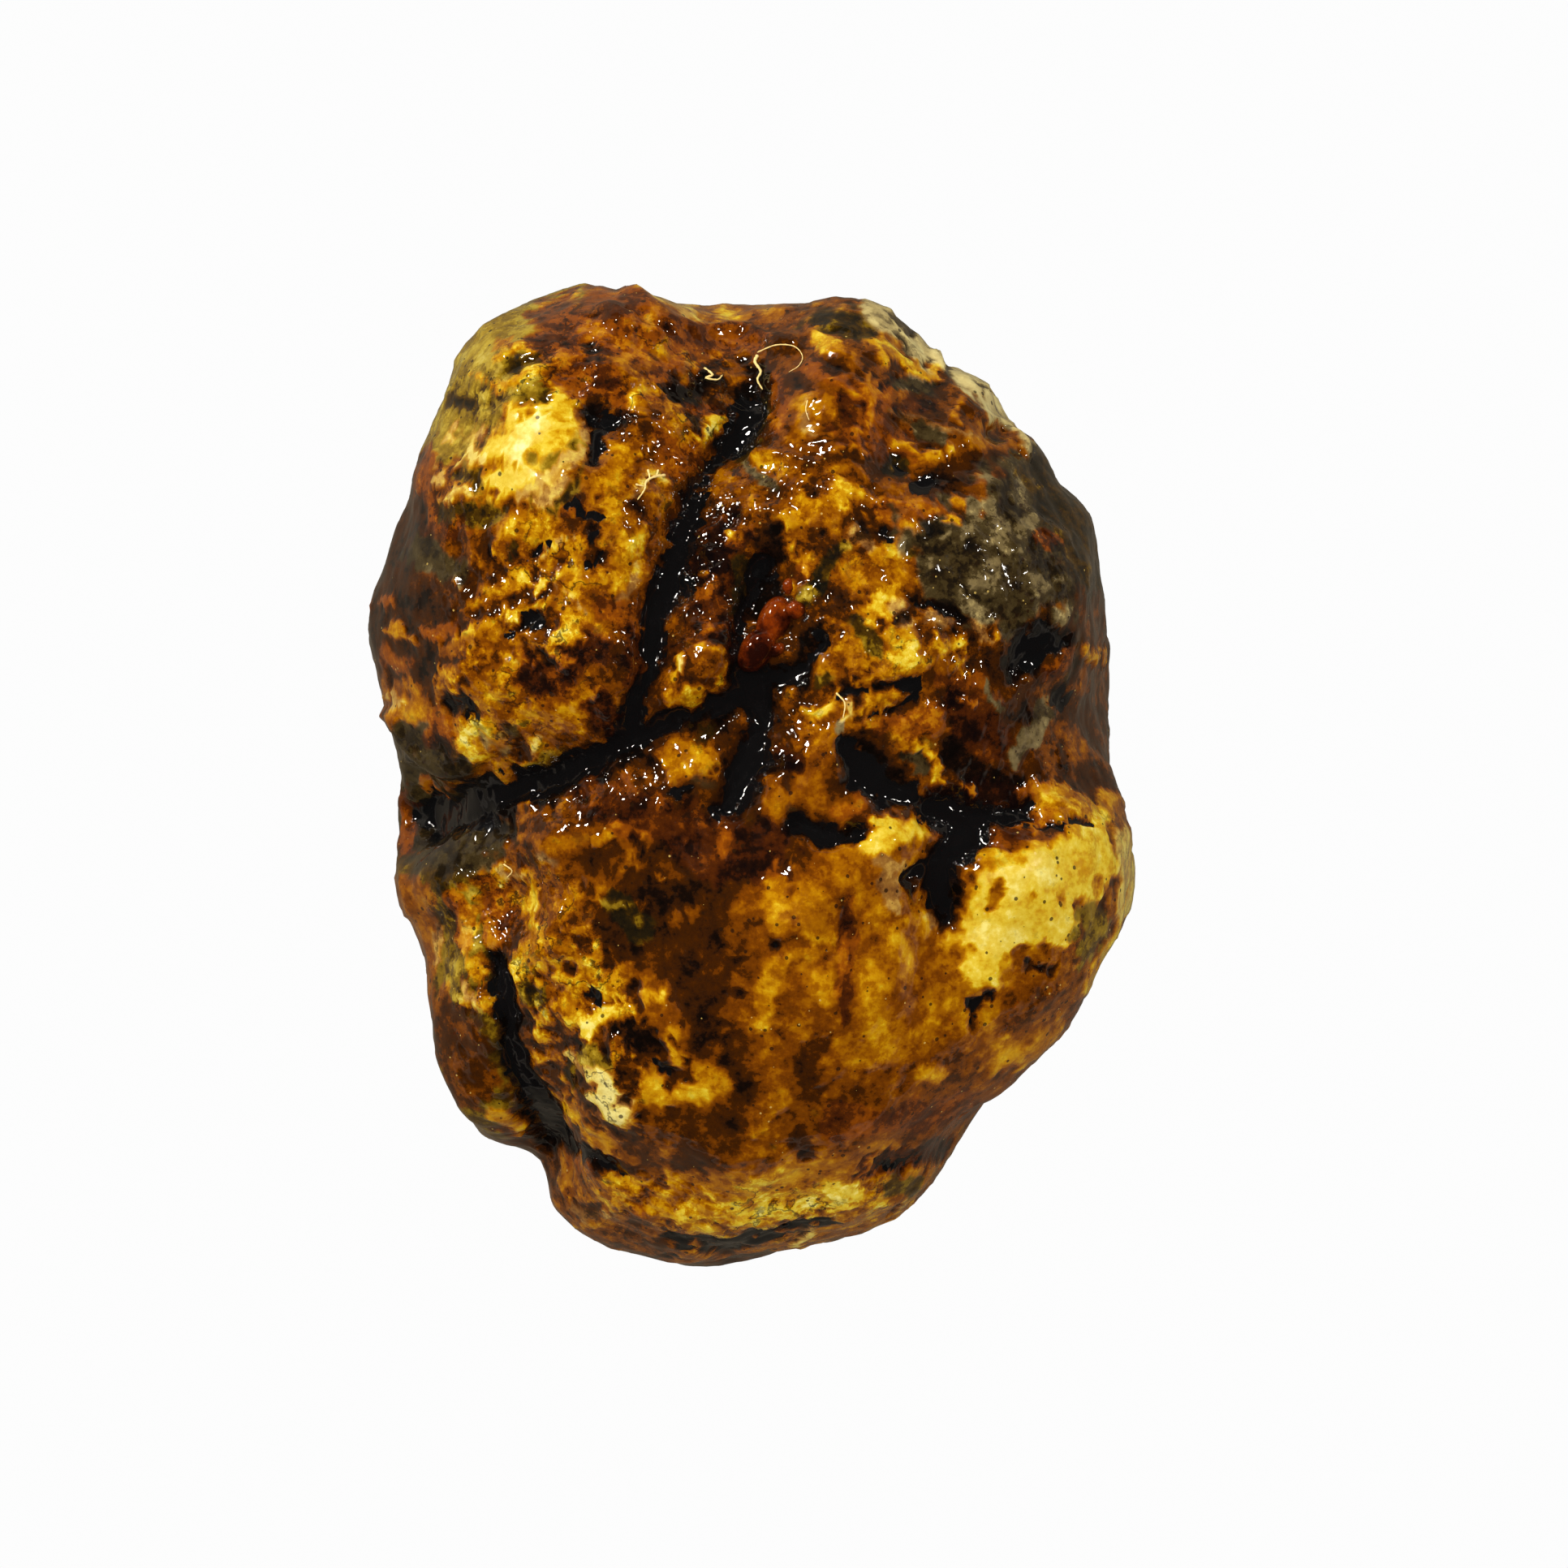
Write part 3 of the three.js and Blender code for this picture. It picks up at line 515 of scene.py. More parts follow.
    (0.52, 1.4, [(-12.4, -6), (-10.8, -8.2)]),
    (0.68, 0.5, [(-14.8, -5.9), (-13.4, -6.1)]),
    ("buff", 0.84, 0.2, [(-14.7, -5.3), (-14.9, -6.3), (-14, -6.1)]),
    (0.68, 0.5, [(-14.4, -7.3), (-13.4, -7.4)]),
    (0.84, 0.4, [(-13, -7.1), (-13.2, -8.5), (-12.4, -9.6)]),
    (0.7, 1.4, [(-12.6, -10.6), (-11, -11.4)]),
    (0.76, 0.6, [(-13.7, -10.9), (-13.9, -13)]),
    (0.72, 0.45, [(-9.5, -10.6), (-9.9, -12)]),
    (0.8, 0.3, [(-13.4, -13.7), (-12.6, -14.6), (-12, -13.9)]),
    (0.8, 0.3, [(-12.7, -14.8), (-12.6, -15.6)]),
    ("olive", 0.32, 0.7, [(-12.8, -13.2)]),
    (0.58, 2, [(-9.5, -13), (-6.5, -13.5), (-5.5, -17), (-3.5, -18.5)]),
    (0.6, 1, [(-9.5, -21), (-6, -20)]),
    (0.86, 0.48, [(-9.2, -12.5), (-8.7, -13.3), (-9.3, -14.4), (-9.6, -15.2)]),
    (0.86, 0.5, [(-8, -12.6), (-6.8, -12.9), (-5.6, -13)]),
    (0.82, 0.35, [(-7, -13.7), (-8, -14)]),
    (0.14, 0.7, [(-7.8, -15.2), (-6.2, -15.2)]),
    (0.24, 0.8, [(-7, -16.7), (-6, -16.4)]),
    (0.76, 0.55, [(-4.8, -15.5), (-4.5, -16.9)]),
    (0.1, 0.32, [(-5.9, -17.7), (-5.1, -17.8)]),
    (0.64, 0.4, [(-8.5, -15.8), (-7.8, -17)]),
    ("buff", 0.8, 0.4, [(-10.9, -17), (-9.6, -17.4)]),
    ("buff", 1, 0.85, [(-9.1, -18.2), (-8.8, -19), (-8.2, -19.9)]),
    (0.76, 0.35, [(-11.3, -18.3), (-11, -19.6), (-10.2, -20.4)]),
    ("olive", 0.2, 0.25, [(-11, -17.5), (-10.9, -18.4)]),
    ("olive", 0.52, 0.5, [(-10, -16.5), (-9, -16.8)]),
    (0.6, 0.45, [(-12.9, -18.7), (-12, -19.2)]),
    (0.74, 0.7, [(-6.4, -18.7), (-5, -19.3), (-3, -19.2)]),
    (0.7, 0.35, [(-4.2, -18.2), (-3.8, -17.6)]),
    (0.52, 0.7, [(-6.2, -20.4), (-5.6, -20.8)]),
    (0.6, 0.5, [(-9.8, -21.4), (-8.5, -22.2)]),
    (0.36, 2, [(-6.2, -22.4), (-3.4, -22)]),
    # lower dome, ochre bands
    (0.64, 0.65, [(1.6, -6.5), (1.6, -8.6)]),
    (0.66, 0.9, [(3.4, -7.4), (3.9, -9.2)]),
    (0.72, 0.55, [(2.5, -10.8), (3.5, -10.8)]),
    (0.7, 0.75, [(1.3, -11.2), (0.9, -13.2), (0.7, -14.6)]),
    (0.68, 0.6, [(4.1, -12), (4.2, -13.2)]),
    (0.62, 0.7, [(0.8, -15.5), (0.7, -17.5), (1.8, -19), (0.4, -20.6)]),
    (0.3, 0.7, [(3.6, -15.8), (3.3, -17.2), (3.7, -18.8)]),
    ("ember", 0.34, 0.5, [(5.7, -7.5), (5.4, -14)]),
    (0.68, 0.8, [(8.4, -9.8), (8.9, -11.5)]),
    (0.68, 0.95, [(7.4, -12.5), (7.3, -14.5), (7.8, -16.4)]),
    (0.7, 0.5, [(10.3, -17.5), (11, -17.8)]),
    (0.66, 0.45, [(11.9, -13.5), (12.2, -15.5)]),
    (0.6, 0.75, [(13.8, -14.2), (13.8, -16)]),
    ("buff", 0.62, 0.5, [(8, -5.9), (8.2, -7.2)]),
    ("buff", 0.82, 0.35, [(8.2, -7.6), (8.7, -7.8)]),
    (0.04, 0.32, [(1.5, -9.9)]),
    ("ember", 0.38, 1, [(5, -20.4), (9, -20.8), (13, -20)]),
    (0.2, 0.8, [(3, -22.2)]),
    # strip down the lower left, and its black groove
    ("ember", 0.56, 0.6, [(-18, -7.2), (-17.2, -8.2), (-17.3, -9.6)]),
    ("ember", 0.5, 0.9, [(-15.6, -7.4), (-15.4, -9.6)]),
    (0.72, 0.28, [(-16.7, -7.1)]),
    (0.64, 0.5, [(-16.9, -10.9), (-16.6, -11.8)]),
    ("buff", 0.8, 0.25, [(-17.4, -12.1), (-16.9, -13.4)]),
    (0.7, 0.38, [(-16.3, -12.8), (-15.9, -13.6)]),
    ("buff", 0.62, 0.28, [(-19.3, -9.4), (-19.2, -11.6)]),
    (0.66, 0.32, [(-18.7, -13.1)]),
    (0.37, 1.6, [(-17.8, -15.5), (-17, -18.6)]),
    (0.74, 0.5, [(-15.7, -20.8), (-14.8, -21.2), (-14, -21.9)]),
    (0.02, 0.7, [(-15.5, -11.2), (-14.8, -13), (-14.8, -16), (-13.8, -18.8)]),
    (0.03, 1.1, [(-13.6, -19.4), (-12.8, -21.2), (-12, -22.4)]),
    # bottom tier
    ("ember", 0.56, 0.5, [(-11.3, -24), (-9.9, -24)]),
    (0.6, 0.5, [(-11, -25.3), (-10.6, -25.4)]),
    (0.62, 0.4, [(-8.2, -25.3), (-7.6, -25.3)]),
    ("buff", 0.62, 0.38, [(-10.8, -26.6), (-8.8, -26.9)]),
    ("ember", 0.44, 0.6, [(-6.9, -26.6)]),
    ("ember", 0.62, 0.38, [(-4.5, -28.2), (-3.8, -28.1)]),
    (0.76, 0.7, [(-3, -26), (-1.6, -27.2)]),
    (0.84, 0.8, [(-1.4, -26.4), (0.6, -26.6), (3.4, -26.8)]),
    (0.72, 0.5, [(-2.6, -27.6), (-1.2, -27.9)]),
    (0.78, 0.5, [(0.6, -24.2), (1.4, -23.6)]),
    (0.72, 0.4, [(-0.6, -24.6), (0.4, -25)]),
    (0.66, 0.3, [(-2.4, -25.3)]),
    (0.92, 0.9, [(4.4, -25), (5.8, -25.2), (5, -26.2)]),
    (0.68, 0.5, [(7.3, -25), (7.8, -25.6)]),
    (0.62, 0.5, [(6, -26.6)]),
    ("buff", 0.92, 0.55, [(3.4, -27.8), (3, -28.5)]),
    ("buff", 0.74, 0.35, [(9.4, -25.8), (9.3, -26.4)]),
    ("olive", 0.4, 0.8, [(8.6, -24.6), (9.8, -24.8)]),
    (0.62, 0.5, [(-2.8, -29.3)]),
    (0.08, 0.32, [(-5, -28.6), (-2, -28.6), (0, -28.2), (1.8, -27.9)]),
    (0.1, 0.38, [(4.9, -27.2)]),
    (0.14, 0.3, [(0, -27.5)]),
    ("ember", 0.24, 0.6, [(6.6, -23.7), (9, -23.4), (11.4, -22.6)]),
    (0.12, 0.5, [(-11, -22.6), (-9, -23.2), (-7.4, -24.4)]),
]
# Each cast: how red (above 0) or olive (below 0) it is, and how grey.
CASTS = {"ember": (1, 0), "olive": (-1, 0), "crust": (-0.3, 1), "buff": (0, 0.45)}
PLAIN_AMBER = (0, 0)

# Where the skin crumbles into small chips: how many, how ripe from and to, middle and half-lengths in mm.
CRUMBLY = [
    (60, 0.66, 0.9, -13, 9, 5.5, 6),
    (30, 0.6, 0.8, -9, 14.5, 3, 4),
    (24, 0.16, 0.34, -12, 10, 6.5, 7),
    (20, 0.6, 0.88, -15.5, 23.5, 3, 2.5),
    (30, 0.45, 0.72, -8, 24.5, 4, 4),
    (60, 0.56, 0.84, -10.5, -13, 4.5, 7),
    (30, 0.12, 0.28, -9, -14, 5.5, 7.5),
    (30, 0.45, 0.78, -17, -10, 1.5, 5),
    (70, 0.7, 0.92, 2, -26, 8, 1.6),
    (20, 0.2, 0.36, 0, -27.5, 11, 1.5),
    (40, 0.5, 0.78, -9.5, -25.5, 3.5, 2.5),
    (50, 0.55, 0.82, 6, 13, 6, 6),
    (24, 0.12, 0.3, 6, 12, 7, 7),
    (40, 0.5, 0.8, 7, 22.5, 6.5, 4),
    (20, 0.14, 0.3, 8, 22, 7, 5),
    (50, 0.34, 0.58, 15.5, 13.5, 4.5, 4.5),
    (24, 0.5, 0.78, 7, 4.5, 4, 3),
    (30, 0.3, 0.55, 18.5, 5, 3, 4.5),
    (30, 0.62, 0.86, 18.5, -2, 3.5, 1.4),
    (30, 0.44, 0.64, -7, -5, 5, 5),
    (40, 0.12, 0.24, -3.5, -10, 4, 9),
    (30, 0.56, 0.74, 7, -11, 6, 5),
]

# Where the skin is lumpier or smoother than elsewhere: how lumpy, half-width and line in mm.
LUMPINESS = [
    (0.25, 9, [(-3, -8), (4, -8), (2, -18), (9, -14)]),
    (0.7, 1, [(-12, -2), (-7, -0.8), (-3, -2)]),
    (0.9, 2.6, [(-12.5, -8), (-9.5, -14), (-9.5, -19)]),
    (0.4, 3, [(16, -16), (8, -22), (-4, -23)]),
    (0.4, 3, [(-20, -4), (-19, -14), (-16, -20)]),
    (0.45, 3.5, [(-21, 12), (-21, 7)]),
    (1.1, 2.6, [(-2, 14), (-1, 9), (2, 10)]),
    (1.2, 3.2, [(-9, 25), (-5, 23)]),
    (1, 3, [(-12, 12), (-12, 10), (-15, 4)]),
    (0.3, 2.4, [(-14.5, 18.5), (-12.5, 20.2)]),
    (1.1, 2.4, [(-17.3, -8), (-16.6, -12)]),
    (0.75, 3.4, [(15, 15), (16, 12)]),
    (0.35, 3.2, [(4, 22.5), (9, 20), (12, 19)]),
    (0.3, 2.6, [(14.5, 3), (15, 0)]),
    (0.85, 2.4, [(-9, -26), (-3, -26.5), (6, -26)]),
    (0.35, 3.4, [(15, -8), (18, -6)]),
]

# Thin raised folds along the rim: height, half-width and line in mm.
FOLDS = [
    (0.5, 0.35, [(-9.2, 28.1), (-7, 26.9), (-5.4, 26.3)]),
    (0.5, 0.4, [(-7.6, 29.2), (-6.2, 27.6), (-5, 27.2), (-3.2, 27), (-0.4, 27), (1, 26.3), (2.6, 26)]),
    (0.6, 0.4, [(-21.9, 3.8), (-21.2, 2.4), (-20.2, 1.4), (-18.8, 0.5), (-17, 0.1)]),
    (0.5, 0.35, [(-21.2, 0.8), (-20.8, -1.4), (-20.6, -3.6)]),
    (0.4, 0.35, [(-21.6, -0.4), (-21.5, -4), (-21, -8.4)]),
    (0.5, 0.4, [(10.8, 25.2), (11.8, 23.2), (13.2, 22), (15.2, 21), (16.6, 19.6)]),
    (0.35, 0.25, [(0.2, 19.4), (2, 19.2), (3.8, 18.3)]),
    (0.6, 0.5, [(-15.2, -2.2), (-13.4, -1.7), (-11.6, -1), (-9.6, -0.2), (-7, 1)]),
]


def smooth_step(low, high, values):
    share = np.clip((values - low) / (high - low), 0, 1)
    return share * share * (3 - 2 * share)


def lattice_noise(places, wavelength, seed):
    """Smooth noise of about -1 to 1 at places, in the same unit as wavelength."""
    scaled = places / wavelength + 31.7 * seed
    corner = np.floor(scaled).astype(np.int64)
    inside = scaled - corner
    ease = inside**3 * (inside * (inside * 6 - 15) + 10)
    total = np.zeros(len(places))
    for step in np.ndindex(2, 2, 2):
        at = corner + step
        mixed = at[:, 0] * 73856093 ^ at[:, 1] * 19349663 ^ at[:, 2] * 83492791 ^ seed * 2654435761
        mixed = (mixed ^ mixed >> 13) * 1274126177 & 0xFFFFFFFF
        mixed ^= mixed >> 15
        away = inside - step
        pull = sum(away[:, axis] * ((mixed >> 10 * axis & 1023) / 511.5 - 1) for axis in range(3))
        total += pull * np.prod(np.where(step, ease, 1 - ease), axis=1)
    return 1.6 * total


def layered_noise(places, wavelength, layers, seed):
    """Noise with finer and weaker layers on top of the first."""
    return sum(lattice_noise(places, wavelength / 2**i, seed + i) / 2**i for i in range(layers))


def along_line(x, y, line):
    """How far each place is from a line of points, and the line's third number there if it has one."""
    away = np.full(len(x), np.inf)
    width = np.ones(len(x))
    for start, end in zip(line, line[1:] or line):
        run = (end[0] - start[0], end[1] - start[1])
        share = (x - start[0]) * run[0] + (y - start[1]) * run[1]
        share = np.clip(share / max(run[0] ** 2 + run[1] ** 2, 1e-9), 0, 1)
        distance = np.hypot(x - start[0] - share * run[0], y - start[1] - share * run[1])
        nearer = distance < away
        away[nearer] = distance[nearer]
        if len(start) > 2:
            width[nearer] = (start[2] + share * (end[2] - start[2]))[nearer]
    return away, width


def near_line(x, y, line, margin):
    """Which places lie within margin of a line's box."""
    corners = np.array([point[:2] for point in line])
    low, high = corners.min(0) - margin, corners.max(0) + margin
    return np.flatnonzero((x > low[0]) & (x < high[0]) & (y > low[1]) & (y < high[1]))


def smooth_copy(solid, name, rounds):
    """A copy of a CAD solid with its corners welded and its faces split and smoothed."""
    body = bmesh.new()
    body.from_mesh(solid.data)
    bmesh.ops.remove_doubles(body, verts=body.verts, dist=1e-6)
    rough = bpy.data.meshes.new(name + "_rough")
    body.to_mesh(rough)
    body.free()
    holder = link(bpy.data.objects.new(name + "_rough", rough))
    smoothing = holder.modifiers.new("smoothing", "SUBSURF")
    smoothing.levels = smoothing.render_levels = rounds
    view = bpy.context.evaluated_depsgraph_get()
    mesh = bpy.data.meshes.new_from_object(holder.evaluated_get(view))
    mesh.name = name
    bpy.data.objects.remove(holder)
    mesh.materials.clear()
    return link(bpy.data.objects.new(name, mesh))


def read_vectors(items, what, count):
    values = np.empty(3 * count, np.float32)
    items.foreach_get(what, values)
    return values.reshape(-1, 3).astype(float)


def write_places(mesh, places):
    """Moves a mesh's corners to places in mm, and shades it smooth."""
    mesh.vertices.foreach_set("co", (places * MM).astype(np.float32).ravel())
    mesh.shade_smooth()
    mesh.update()


nugget = smooth_copy(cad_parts["amber_nugget"], "amber_nugget_skin", 2)
skin = nugget.data
count = len(skin.vertices)
place = read_vectors(skin.vertices, "co", count) / MM
outward = read_vectors(skin.vertex_normals, "vector", count)

# Everything drawn on the upper face wanders a little, so that no edge is even.
FLAT = range(2)  # the axes x and y
bend = [0.5 * lattice_noise(place, 4.2, 2 + axis) for axis in FLAT]
bend = [bend[axis] + 0.28 * lattice_noise(place, 1.9, 5 + axis) for axis in FLAT]
fray = [0.30 * lattice_noise(place, 0.9, 8 + axis) for axis in FLAT]
fray = [fray[axis] + 0.16 * lattice_noise(place, 0.5, 11 + axis) for axis in FLAT]
wander = 0.3 * lattice_noise(place, 3.4, 18) + 0.2 * lattice_noise(place, 1.3, 19)
upper = smooth_step(-0.35, 0.0, outward[:, 2] + wander)  # 1 on the upper face, 0 under the girth

# Under the girth the stains and clefts run out to the sides, so that none hangs down as a stripe.
runout = 0.9 * np.clip(GIRTH_HEIGHT / MM + 7.0 * wander - place[:, 2], 0, None)
spot = [place[:, axis] + outward[:, axis] * runout for axis in FLAT]
x, y = (spot[axis] + bend[axis] + fray[axis] for axis in FLAT)
ragged = 0.6 * lattice_noise(place, 1.5, 14) + 0.45 * lattice_noise(place, 0.7, 15)


def stain_cover(line, half):
    """The places near a line, and how well a stain along it covers each, with ragged edges."""
    near = near_line(x, y, line, 2.4 * half)
    away, _ = along_line(x[near], y[near], line)
    return near, smooth_step(0.35, 0.85, 1.6 - away / half + 0.75 * ragged[near])


# Stains, and the painted grey reflections off wet facets. The flanks and the underside get
# theirs from noise alone, in the same mix.
ripeness = np.clip(0.42 + 0.26 * layered_noise(place, 11.0, 3, 20), 0.18, 0.9)
redness = np.clip(1.2 * layered_noise(place, 9.0, 2, 30), -1, 1)
greyness = 0.6 * smooth_step(0.25, 0.6, layered_noise(place, 8.0, 2, 40))
flank = ripeness.copy(), redness.copy(), greyness.copy()
for *cast, ripe, half, line in STAINS_AND_SHEENS:
    near, cover = stain_cover(line, half)
    red, grey = CASTS[cast[0]] if cast else PLAIN_AMBER
    ripeness[near] += cover * (ripe - ripeness[near])
    redness[near] += cover * (red - redness[near])
    greyness[near] += cover * (grey - greyness[near])
CHIP_STRENGTH = 0.75
luck = np.random.default_rng(11)
for number, low, high, *zone in CRUMBLY:
    for _ in range(number):
        middle = luck.normal(zone[:2], np.array(zone[2:]) * 0.55)
        reach = luck.normal(0, 0.35, 2)
        ripe, half = luck.uniform(low, high), luck.uniform(0.12, 0.38)
        near, cover = stain_cover([tuple(middle - reach), tuple(middle + reach)], half)
        ripeness[near] += CHIP_STRENGTH * cover * (ripe - ripeness[near])
ripeness, redness, greyness = (
    below + upper * (drawn - below) for below, drawn in zip(flank, (ripeness, redness, greyness))
)

# Clefts: steep-sided, filled with black gum that stands a little proud in the middle.
FILL_DEPTH = 0.72  # how far down the gum's edge lies, as a share of the cleft's depth
GUM_BULGE = 0.24
x, y = (spot[axis] + 0.7 * bend[axis] + 0.25 * fray[axis] for axis in FLAT)
gum_x, gum_y = (spot[axis] + 0.7 * bend[axis] + 1.8 * fray[axis] for axis in FLAT)
uneven_width = np.exp(0.45 * lattice_noise(place, 2.4, 16) + 0.4 * lattice_noise(place, 1.0, 17))
carved = np.zeros(count)
pitch = np.zeros(count)
for depth, line in CLEFTS:
    near = near_line(x, y, line, 4.0)
    away, half = along_line(x[near], y[near], line)
    share = away / (half * uneven_width[near])
    groove = 1.2 * np.exp(-1.1 * np.sqrt(share**2 + 0.03))
    groove = np.minimum(groove, FILL_DEPTH - GUM_BULGE * np.clip(1 - share**2, 0, 1))
    carved[near] = np.maximum(carved[near], depth * groove)
    away, half = along_line(gum_x[near], gum_y[near], line)
    share = away / (half * uneven_width[near]) + 0.8 * ragged[near]
    pitch[near] = np.maximum(pitch[near], 1 - smooth_step(0.1, 2.35, share))
carved *= upper
flank_clefts = 1 - smooth_step(0.02, 0.16, np.abs(layered_noise(place, 13.0, 3, 50)))
flank_clefts *= smooth_step(-0.3, 0.5, lattice_noise(place, 7.0, 55))
carved += (1 - upper) * flank_clefts
pitch = upper * pitch + (1 - upper) * 0.6 * flank_clefts
# Towards each cleft the amber darkens, the more the nearer the gum.
ripeness -= 0.5 * pitch * ripeness

lumpiness = np.full(count, 0.7)
for lumpy, half, line in LUMPINESS:
    near = near_line(x, y, line, 1.6 * half)
    away, _ = along_line(x[near], y[near], line)
    lumpiness[near] += (1 - smooth_step(0.6 * half, 1.4 * half, away)) * (lumpy - lumpiness[near])

steepness = 1 - smooth_step(0.25, 0.7, outward[:, 2])
folds = np.zeros(count)
for rise, half, line in FOLDS:
    near = near_line(x, y, line, 3 * half)
    away, _ = along_line(x[near], y[near], line)
    folds[near] = np.maximum(folds[near], rise * np.exp(-((away / half) ** 2)))

swells = 0.55 * lattice_noise(place, 6.5, 60) + 0.3 * lattice_noise(place, 3.2, 61)
knobs = 0.30 * np.abs(lattice_noise(place, 2.1, 62)) + 0.24 * np.abs(lattice_noise(place, 1.1, 63))
knobs += 0.09 * lattice_noise(place, 0.65, 64)
knobs *= 1 - 0.5 * steepness
relief = swells * (0.5 + 0.5 * lumpiness) + lumpiness * (1 - 0.7 * pitch) * (knobs - 0.2)
relief += (1 - pitch) * 0.3 * (smooth_step(0.05, 0.95, ripeness) - 0.4) + folds - carved

off_base = smooth_step(0.2, 2.2, place[:, 2])  # the worn flat stays flat
place += outward * (relief * off_base)[:, None]
place[:, 2] = np.maximum(place[:, 2], 0)
masks = {
    "ripeness": ripeness, "redness": redness, "greyness": greyness, "pitch": np.clip(pitch, 0, 1),
    "lumpiness": lumpiness, "steepness": steepness,
}
for name, values in masks.items():
    skin.attributes.new(name, "FLOAT", "POINT").data.foreach_set("value", values.astype(np.float32))
write_places(skin, place)

# The skin's finish. Places on it are measured in mm.
amber, tree, output = new_material("weathered_amber")

# The cloudy grain of resin, which skin and beads share, is a node group: noise from 0 to 1 over places
# in mm. Marks per mm says how close its broadest marks are.
resin_grain = bpy.data.node_groups.new("resin_grain", "ShaderNodeTree")
resin_grain.interface.new_socket("Place", in_out="INPUT", socket_type="NodeSocketVector")
for name in ("Marks per mm", "Detail", "Roughness"):
    resin_grain.interface.new_socket(name, in_out="INPUT", socket_type="NodeSocketFloat")
resin_grain.interface.new_socket("Grain", in_out="OUTPUT", socket_type="NodeSocketFloat")
given = add_node(resin_grain, "NodeGroupInput").outputs
noise = add_node(resin_grain, "ShaderNodeTexNoise", {
    "Vector": given["Place"], "Scale": given["Marks per mm"],
    "Detail": given["Detail"], "Roughness": given["Roughness"],
}).outputs["Fac"]
add_node(resin_grain, "NodeGroupOutput", {"Grain": noise})


def grain(places, wavelength, detail=4.0, roughness=0.6):
    """The resin grain placed in a material, with its broadest marks this many mm apart."""
    inputs = {"Place": places, "Marks per mm": 1 / wavelength, "Detail": detail, "Roughness": roughness}
    return add_node(tree, "ShaderNodeGroup", inputs, node_tree=resin_grain).outputs["Grain"]


def maths(operation, *values):
    return add_node(tree, "ShaderNodeMath", dict(enumerate(values)), operation=operation).outputs[0]


def mask(name):
    return add_node(tree, "ShaderNodeAttribute", attribute_name=name).outputs["Fac"]


def places_in_mm():
    here = add_node(tree, "ShaderNodeTexCoord").outputs["Object"]
    inputs = {0: here, "Scale": 1 / MM}
    return add_node(tree, "ShaderNodeVectorMath", inputs, operation="SCALE").outputs["Vector"]


def dots(places, spacing):
    """How far each place is from the nearest of many scattered dots, in shares of their spacing."""
    inputs = {"Vector": places, "Scale": 1 / spacing, "Randomness": 1.0}
    return add_node(tree, "ShaderNodeTexVoronoi", inputs).outputs["Distance"]


def spread(value, low, high, to_low=0.0, to_high=1.0):
    return add_node(tree, "ShaderNodeMapRange", {
        "Value": value, "From Min": low, "From Max": high, "To Min": to_low, "To Max": to_high,
    }, interpolation_type="SMOOTHSTEP").outputs["Result"]


def mixed(share, first, second):
    """Two colours mixed, each from a socket or plain."""
    node = add_node(tree, "ShaderNodeMix", data_type="RGBA")
    for index, value in ((0, share), (6, first), (7, second)):
        if isinstance(value, bpy.types.NodeSocket):
            tree.links.new(value, node.inputs[index])
        else:
            node.inputs[index].default_value = value
    return node.outputs[2]


def shades(value, stops):
    """A colour for each value, smoothly through stops of place and colour."""
    ramp = add_node(tree, "ShaderNodeValToRGB", {"Fac": value})
    ramp.color_ramp.interpolation = "LINEAR"
    points = ramp.color_ramp.elements
    while len(points) < len(stops):
        points.new(0.5)
    for point, (where, colour) in zip(points, stops):
        point.position, point.color = where, (*colour, 1)
    return ramp.outputs["Color"]


here = places_in_mm()
blotches = grain(here, 2.2, 8.0, 0.62)
flecks = grain(here, 0.5, 5.0, 0.6)
flakes = spread(grain(here, 1.6, 8.0, 0.65), 0.46, 0.54, -0.5, 0.5)
crumbs = spread(grain(here, 0.7, 6.0, 0.65), 0.46, 0.54, -0.5, 0.5)
chips = maths("MULTIPLY_ADD", flakes, 0.18, maths("MULTIPLY", crumbs, 0.10))
chips = maths("MULTIPLY", chips, spread(mask("lumpiness"), 0.3, 0.9, 0.4, 1.0))
mottling = maths("MULTIPLY_ADD", maths("SUBTRACT", blotches, 0.5), 0.85, chips)
mottling = maths("MULTIPLY", mottling, spread(mask("ripeness"), 0.80, 0.95, 1.0, 0.3))
mottling = maths("MULTIPLY", mottling, spread(mask("steepness"), 0.0, 0.6, 1.0, 0.7))
uneven = maths("MULTIPLY_ADD", maths("SUBTRACT", flecks, 0.5), 0.35, mask("ripeness"))
uneven = maths("SUBTRACT", maths("ADD", uneven, mottling), 0.03)
amber_shades = shades(uneven, [
    (0.00, (0.003, 0.002, 0.0015)), (0.13, (0.008, 0.0035, 0.002)), (0.20, (0.030, 0.009, 0.002)),
    (0.34, (0.050, 0.013, 0.001)), (0.39, (0.115, 0.028, 0.001)), (0.50, (0.19, 0.049, 0.001)),
    (0.55, (0.27, 0.081, 0.001)), (0.64, (0.36, 0.126, 0.001)), (0.70, (0.48, 0.205, 0.002)),
    (0.79, (0.58, 0.295, 0.004)), (0.85, (0.70, 0.46, 0.016)), (0.92, (0.78, 0.57, 0.045)),
    (1.00, (0.92, 0.77, 0.19)),
])
ember_shades = shades(uneven, [
    (0.00, (0.004, 0.002, 0.002)), (0.16, (0.012, 0.004, 0.002)), (0.22, (0.040, 0.009, 0.002)),
    (0.36, (0.080, 0.018, 0.002)), (0.41, (0.16, 0.036, 0.002)), (0.54, (0.26, 0.062, 0.002)),
    (0.60, (0.35, 0.105, 0.002)), (0.78, (0.55, 0.23, 0.005)), (1.00, (0.78, 0.50, 0.05)),
])
